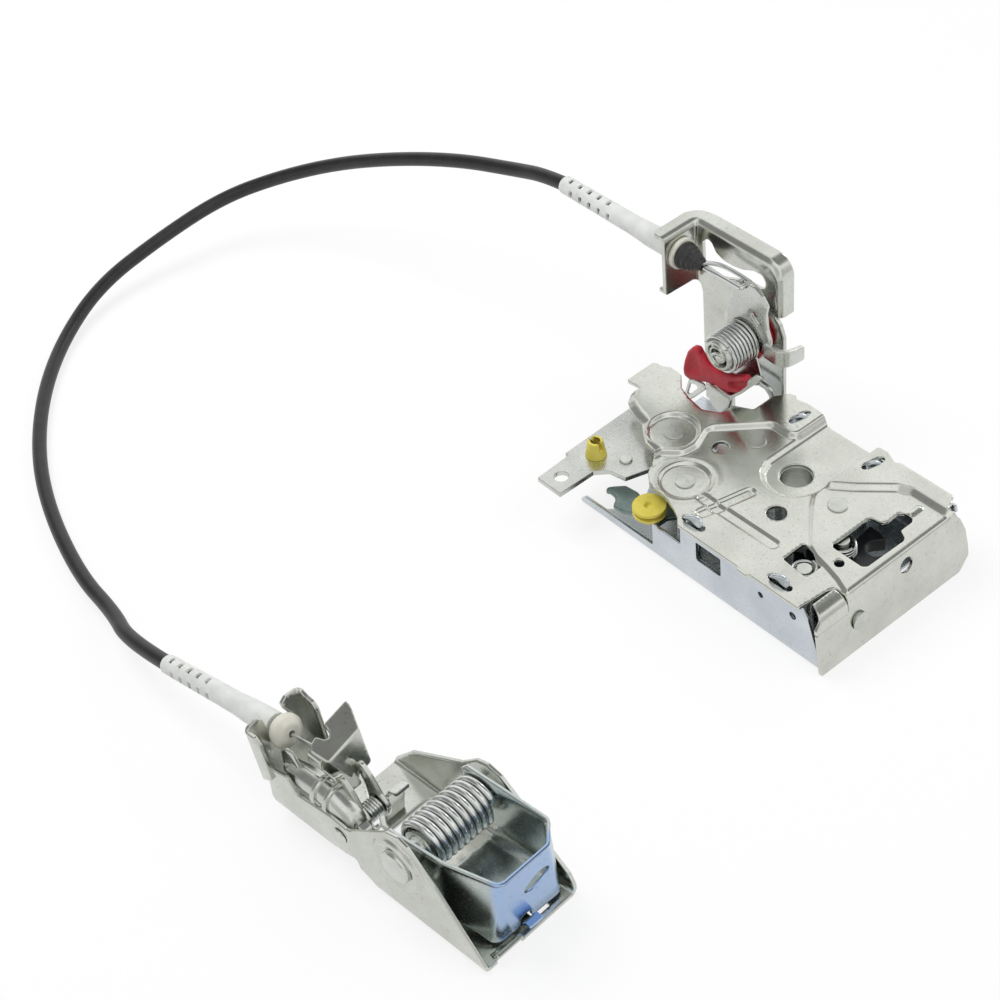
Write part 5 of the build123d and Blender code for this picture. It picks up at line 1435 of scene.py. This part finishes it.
def makeTray(spec):
    def rise(s, t):
        away = np.hypot(s - spec["ring"][0], t - spec["ring"][1])
        hollow = 1 - 0.75 * smoothStep((11.2 - away) / 2.0 + 0.5)
        ring = spec["ringLift"] * smoothStep((spec["ringRadius"] - away) / 2.8 + 0.5) * hollow
        far = 0.9 * smoothStep((13.0 - np.hypot(s - 23.6, t + 52)) / 3 + 0.5)
        step = 0.7 * smoothStep((t + 84) / -4 + 0.5) * smoothStep((s - 128) / 3)
        return ring + far + step

    def skewedStep(a, b, across):
        return latchPoint(across, a - 0.12 * (across + 101), b)

    def leaningLug(s, t, depth):
        return latchPoint(-98 + depth + 0.16 * (t - 10), s, t)

    loops = [roundLoop(spec[key], radius, 0.9) for key, radius in (("outline", 1.6), ("opening", 3), ("slot", 0.8))]
    loops.append(circleLoop(*spec["hole"], 30))
    ring = circleLoop(spec["ring"], spec["ringRadius"], 50)
    thickness = spec["thickness"]
    parts = [
        bentSheet(spec["section"], spec["bend"], loops, inLatch, thickness, coarse=3.0, fine=0.9, rise=rise,
                  edge=0.45, busyLoops=(ring,)),
        bentSheet(spec["shelf"], (0, 2, 0), [spec["shelfOutline"]], inLatch, thickness, coarse=3.2, fine=1.2,
                  edge=0.4),
        bentSheet(spec["step"], 0, [spec["stepOutline"]], skewedStep, thickness, coarse=2.6, edge=0.3),
        bentSheet(spec["toe"], (0, 2.4, 0), [spec["toeOutline"]], alongCatch, 1.8, coarse=1.6, fine=0.7,
                  corner=0.7),
        plateOf([spec["lug"]], leaningLug, thickness, coarse=2.2, edge=0.5, corner=2),
        bentSheet(spec["wing"], (0, 2.5, 0), [spec["wingOutline"]], alongCatch, thickness, coarse=1.8, fine=0.8,
                  corner=1.6),
    ]
    placePiece("catchBase", parts, "bracketSteel", "catch_base")


cup = {
    "rim": [(-64, 4.7), (-30, 7.6), (-0.6, 15.4), (-0.6, 46), (-10.5, 56.6), (-64, 54.4)],
    "foot": [(-64, 4.6), (-30, 5.8), (-5, 13.2), (-4.4, 54), (-8.4, 57), (-64, 56.4)],
    "radii": (0, 14, 5.0, 4.0, 5.0, 0), "low": 4.0, "high": 50.0, "thickness": 2.0,
    "slotAt": (36.6, 30.0), "slotSize": (14.6, 6.6), "slotTurn": 22,
    "floorTop": 13, "floorMiddle": (-34.0, 31.0), "floorEnd": -46,
    "lug": [(-3.8, 4.1), (-3.4, 9.3), (3.2, 9.7)],
    "lugOutline": [(2.6, 27.6), (9.6, 27.6), (9.6, 36), (2.6, 36)],
}


def steadyPath(corners, radii):
    # arcs of nine points and runs of eight, so that two outlines match point for point
    corners = np.asarray(corners, float)
    points = [corners[:1]]
    last = corners[0]
    for i in range(1, len(corners) - 1):
        arc = cornerArc(*corners[i - 1:i + 2], radii[i], 0.45, lambda turn, size: 9)
        points += [last + (arc[0] - last) * (np.arange(1, 9) / 9)[:, None], arc]
        last = arc[-1]
    points.append(last + (corners[-1] - last) * (np.arange(1, 10) / 9)[:, None])
    return np.concatenate(points)


def makeCup(spec):
    rim = steadyPath(spec["rim"], spec["radii"])
    foot = steadyPath(spec["foot"], [radius * 1.25 for radius in spec["radii"]])
    low, high = spec["low"], spec["high"]
    s0 = np.concatenate([[0], np.cumsum(np.hypot(*np.diff(rim, axis=0).T))])
    end = s0[-1]

    def place(s, z):
        share = ((z - low) / (high - low))[:, None]
        r, f = (np.stack([np.interp(s, s0, line[:, k]) for k in (0, 1)], 1) for line in (rim, foot))
        return f + (r - f) * share

    def surface(s, z, depth):
        # outward normal from the run along the wall and the wall's own lean
        flat = place(s, z)
        ahead = place(np.minimum(s + 0.6, end), z) - place(np.maximum(s - 0.6, 0), z)
        lean = (place(s, np.minimum(z + 1, high)) - place(s, np.maximum(z - 1, low))) / 2
        normal = unit(np.cross(np.insert(ahead, 2, 0, 1), np.insert(lean, 2, 1, 1)))
        # the lip turns out a little and the foot's edge turns in
        push = 0.9 * smoothStep((z - high + 5) / 5) ** 2 - depth
        return latchPoint(*(np.column_stack([flat, z]) + normal * push[:, None]).T)

    def alongRim(u, v):
        # pattern distance of the rim point nearest to a place
        return s0[np.argmin(np.hypot(rim[:, 0] - u, rim[:, 1] - v))]

    def wallAt(v):
        part = np.abs(rim[:, 0] + 0.6) < 0.2
        return np.interp(v, rim[part, 1], s0[part])

    nearTurn, farTurn = alongRim(-0.6, 20), alongRim(-12.5, 56.6)
    outline = [
        (0, 25), (4, 24.6), (alongRim(-34, 7), 12), (nearTurn - 13, 7), (nearTurn - 6, 4.2), (wallAt(26.6), 4.2),
        (wallAt(26.8), 10.4), (wallAt(31.8), 10.4), (wallAt(32), 4.2), (farTurn + 2, 4.2), (end - 34, 12),
        (end - 4, 24.6), (end, 25), (end, 47), (end - 3, 49.8), (3, 49.8), (0, 47),
    ]
    slot = slotLoop((wallAt(spec["slotAt"][0]), spec["slotAt"][1]), spec["slotSize"], spec["slotTurn"], 12)
    # each turn of the rim is nine points after a run of eight
    arcs = [(s0[k * 17 + 8] - 1, s0[k * 17 + 17] + 1) for k in range(4)]

    def busy(p):
        near = np.zeros(len(p), bool)
        for first, last in arcs:
            near |= (p[:, 0] > first) & (p[:, 0] < last)
        return near | (p[:, 1] > high - 4)

    wall = fineSheet([roundLoop(outline, 2.0, 0.9), slot], surface, spec["thickness"], coarse=2.4, fine=1.1,
                     busy=busy, edge=0.5)
    # Floor: inside the walls, its edge curving up into them on a quarter circle:
    # lift = r - sqrt(r^2 - (r - d)^2) for a point d from the wall.
    top, back, r = spec["floorTop"], spec["floorEnd"], 7
    inner = place(s0, np.full(len(s0), float(top)))
    inner = inner + unit(np.array(spec["floorMiddle"]) - inner) * 1.2
    inner = inner[inner[:, 0] > back]
    inner = np.concatenate([inner, [(back, inner[-1, 1]), (back, inner[0, 1])]])

    def floorSurface(u, v, depth):
        gap = np.clip(r - distanceTo(np.stack([u, v], 1), inner[:-2], closed=False), 0, r)
        lift = r - np.sqrt(np.maximum(r * r - gap * gap, 0))
        return latchPoint(u, v, top + lift - depth)

    floor = fineSheet([roundLoop(inner, 0.2, 1.2)], floorSurface, 1.8, coarse=2.4, fine=1.2,
                      busy=lambda p: distanceTo(p, inner) < r, edge=0.2)
    lug = bentSheet(spec["lug"], (0, 2.6, 0), [spec["lugOutline"]], alongCatch, 1.8, coarse=1.5, fine=0.7,
                    corner=0.8)
    placePiece("catchCup", [wall, floor, lug], "cupZinc", "catch_cup", "cup")


# headed pins: the heads are low domes with a soft shoulder
pins = {
    "catchPin": ("catch_pin", (-52, 0, 36.4), 60, [
        (-3.5, 0), (-3.5, 7.2), (-3.2, 8.2), (-2.4, 8.8), (-0.6, 8.9), (-0.5, 6), (12.8, 6), (13, 8.7), (51, 8.7),
        (51.4, 6), (61, 6), (61.2, 8.4), (62.6, 8.2), (63, 7), (63, 0)]),
    "triggerPin": ("trigger_pin", (-93, -0.5, 24), 36, [
        (-1.9, 0), (-1.8, 2.2), (-1.3, 4.0), (-0.5, 4.6), (-0.2, 3), (29, 3), (29.3, 2.4), (29.3, 0)]),
}


def makePin(name, node, at, sides, section):
    pin = turnedSolid(section, latchPoint(*at), acrossLatch, sides=sides)
    placePiece(name, [pin], "studSteel", node, crease=40)


forkPlate = {
    "section": [(9, -17.5), (-2.5, -17.5), (-2.5, 19), (9, 19)], "bend": 2.4, "thickness": 2.4,
    # pattern: distance along the channel, then up the leaning plate
    "outline": [
        (2.5, -18), (1.5, 4), (4, 8.5), (10.5, 9.8), (13.4, 11.4), (18.6, 12.4), (20.8, 10.4), (21.6, 4),
        (22.6, -2.6), (25, -5.6), (28.7, -6.7), (32.4, -5.6),
        (35, -2.0), (35.4, 3), (33.6, 7), (33.2, 10.4), (36.6, 12.6), (43, 12.2), (47.5, 10.0), (50.6, 7.6),
        (55, 5.6), (57.0, 2), (56.2, -18), (50, -22), (48, -34),
        (19, -34), (16.4, -22),
    ],
    "foot": [(-143.4, 2.6), (-122, 2.6), (-122, 37), (-143.4, 37)], "footTop": 13.4, "footThickness": 2.0,
    "knob": [
        (0, 1.9), (0, 6.8), (0.8, 8.0), (2.6, 8.9), (4.6, 8.9), (6.2, 8.0), (7.2, 6.2), (7.8, 5.8), (8.2, 4.4),
        (8.3, 1.9), (0, 1.9),
    ],
}


def makeForkPlate(spec):
    def level(s, t, depth):
        return latchPoint(s, t, spec["footTop"] - depth)

    outline = roundLoop(spec["outline"], 1.2, 0.8)
    plate = bentSheet(spec["section"], spec["bend"], [outline], forkPoint, spec["thickness"], coarse=2.2,
                      fine=0.9, edge=0.4)
    knob = turnedSolid(spec["knob"], forkPoint(1.2, 0, 0), forkAxis, sides=48)
    placePiece("lowerFerrule", [knob], "creamNylon", "lower_ferrule")
    foot = plateOf([spec["foot"]], level, spec["footThickness"], coarse=3.0, edge=0.4)
    placePiece("cablePlate", [plate, foot], "bracketSteel", "cable_plate")


trigger = {
    "pivot": (-93, 24),  # along the latch and up
    # thumb flap and web are one bent sheet, its fold turned a little off square to the latch
    "flap": [(-121.4, 59.4), (-108, 54.2), (-101.2, 36.6)], "skew": 0.19,
    "flapOutline": [
        (0.2, 23.4), (0.2, 40.8), (5, 39.4), (14, 35.0), (32.8, 33.6), (33.0, 20.6), (14, 11.2), (4.6, 8.8),
        (2.2, 11), (1.4, 15.6), (5.4, 17.8), (6.8, 20.2), (4.8, 22.6),
    ],
    "cheek": [
        (-100, 25), (-101, 33), (-106, 43), (-102.6, 47.4), (-96.4, 41), (-91, 32), (-86, 27), (-87, 19),
        (-96, 17.6),
    ],
    "cheeksAt": (12, 24),
    "clasp": [(9.6, 45.4), (9.6, 52.6), (20.4, 52.6), (20.4, 45.4)],
    "claspOutline": [(0, -122), (22.6, -122), (22.6, -112.6), (0, -112.6)],
    "arm": [(-116, 46), (-107, 43.5), (-100, 34)],
    "armOutline": [(0, 10.6), (0, 19.4), (20, 23), (20, 12)],
}


def makeTrigger(spec):
    def skewed(a, b, across):
        return latchPoint(a - (across - 11) * spec["skew"], across, b)

    parts = [
        bentSheet(spec["flap"], (0, 2.6, 0), [spec["flapOutline"]], skewed, 2.4, coarse=2.0, fine=0.8, edge=0.5,
                  corner=1.6),
        bentSheet(spec["clasp"], (0, 2.2, 2.2, 0), [spec["claspOutline"]], inLatch, 1.8, coarse=1.6, fine=0.7,
                  corner=1.2),
        bentSheet(spec["arm"], (0, 5, 0), [spec["armOutline"]], alongCatch, 2.2, coarse=2.0, fine=0.9, corner=1.5),
    ]
    u, z = spec["pivot"]
    for v in spec["cheeksAt"]:
        parts.append(plateOf([spec["cheek"]], upright(v), 2.5, coarse=2.0, edge=0.5, corner=2.5))
    for v in spec["cheeksAt"]:
        parts.append(washer(3.1, 7, 2.5, bevel=(0.5, 0.4), start=latchPoint(u, v, z), axis=acrossLatch, sides=40))
    placePiece("triggerLever", parts, "bracketSteel", "trigger_lever", "trigger")


holdingArm = {
    # arched sheet: its middle's height and its section's radius at places along the latch
    "from": -137, "to": -87, "middle": 8, "sheet": 1.8,
    "height": [(-137, 33.5), (-128, 33.5), (-112, 35.5), (-102, 34.5), (-94, 31), (-87, 26.5)],
    "radius": [(-137, 3.4), (-134, 5.0), (-126, 6.2), (-112, 6.6), (-100, 6.8), (-90, 6.0), (-87, 4.6)],
    "strapsAt": (-113, -104.5), "strapHeight": 34.8,
    "ear": [
        (-137.6, 25), (-128, 25), (-126.6, 40), (-129.6, 47.4), (-134.6, 48.6), (-138.6, 44), (-139, 32),
    ],
    "tail": [(-90, 30), (-82, 26), (-77, 35.5)],
    "tailOutline": [(0, 6), (0, 12), (19.4, 11), (19.4, 7)],
}


def makeHoldingArm(spec):
    # the arch is open below; its left end rises in a rounded ear and its right end wraps the pivot
    stations, spokes = 46, 26
    u = np.linspace(spec["from"], spec["to"], stations)[:, None]
    height, radius = (np.interp(u, *np.transpose(spec[key])) for key in ("height", "radius"))
    t = np.linspace(radians(-28), radians(208), spokes)
    sheets = [latchPoint(u, spec["middle"] + r * np.cos(way), height + r * np.sin(way))
              for r, way in ((radius, t), (radius - spec["sheet"], t[::-1]))]
    around = 2 * spokes
    last = (stations - 1) * around
    faces = gridFaces(stations, around) + [list(range(around))[::-1], [last + i for i in range(around)]]
    arch = np.concatenate(sheets, 1).reshape(-1, 3), faces

    def leaning(s, z, depth):
        return latchPoint(s, 6.4 + depth - 0.03 * (z - 30), z)

    ear = plateOf([spec["ear"]], leaning, 2.2, coarse=2.0, edge=0.7, corner=3.5)
    tail = bentSheet(spec["tail"], (0, 4, 0), [spec["tailOutline"]], alongCatch, 2.2, coarse=1.8, fine=0.8,
                     corner=1.2)
    hub = washer(3.1, 7.1, 7.2, bevel=(0.6, 0.5), start=latchPoint(-93, 4.4, 24), axis=acrossLatch, sides=40)
    straps = [washer(6.4, 8.3, 2.9, bevel=(0.5, 0.4), start=latchPoint(at, spec["middle"], spec["strapHeight"]),
                     axis=alongLatch, sides=44) for at in spec["strapsAt"]]
    parts = [arch, ear, tail, hub] + straps
    placePiece("holdingArm", parts, "studSteel", "holding_arm", "holding_arm")


makeTray(tray)
makeCup(cup)
for name, pin in pins.items():
    makePin(name, *pin)
makeForkPlate(forkPlate)
makeTrigger(trigger)
makeHoldingArm(holdingArm)
print("second latch made")


# everything else keeps its CAD shape with broken edges

# material and width of the broken edges in millimetres
softNodes = {
    "fixing_tube": ("studSteel", 0.3),
    "release_stud": ("studSteel", 0.35),
    "lock_stud": ("studSteel", 0.35),
    "transfer_stud": ("studSteel", 0.35),
    "spacer_stud": ("studSteel", 0.35),
    "claw_stud": ("studSteel", 0.3),
    "pawl_stud": ("studSteel", 0.3),
    "claw": ("blackCoat", 0.7),
    "pawl": ("blackCoat", 0.5),
    "pawl_link": ("leverSteel", 0.3),
    "transfer_lever": ("leverSteel", 0.3),
    "release_lever": ("leverSteel", 0.35),
    "rod_clip": ("yellowPlastic", 0.4),
    "lever_rivet": ("studSteel", 0.4),
    "lock_knob": ("yellowPlastic", 0.5),
    "face_plug": ("studSteel", 0.3),
    "lower_wire": ("springSteel", 0.2),
}
for node, (material, width) in softNodes.items():
    softenedNode(node, material, width)
print("levers, studs and mouldings softened")
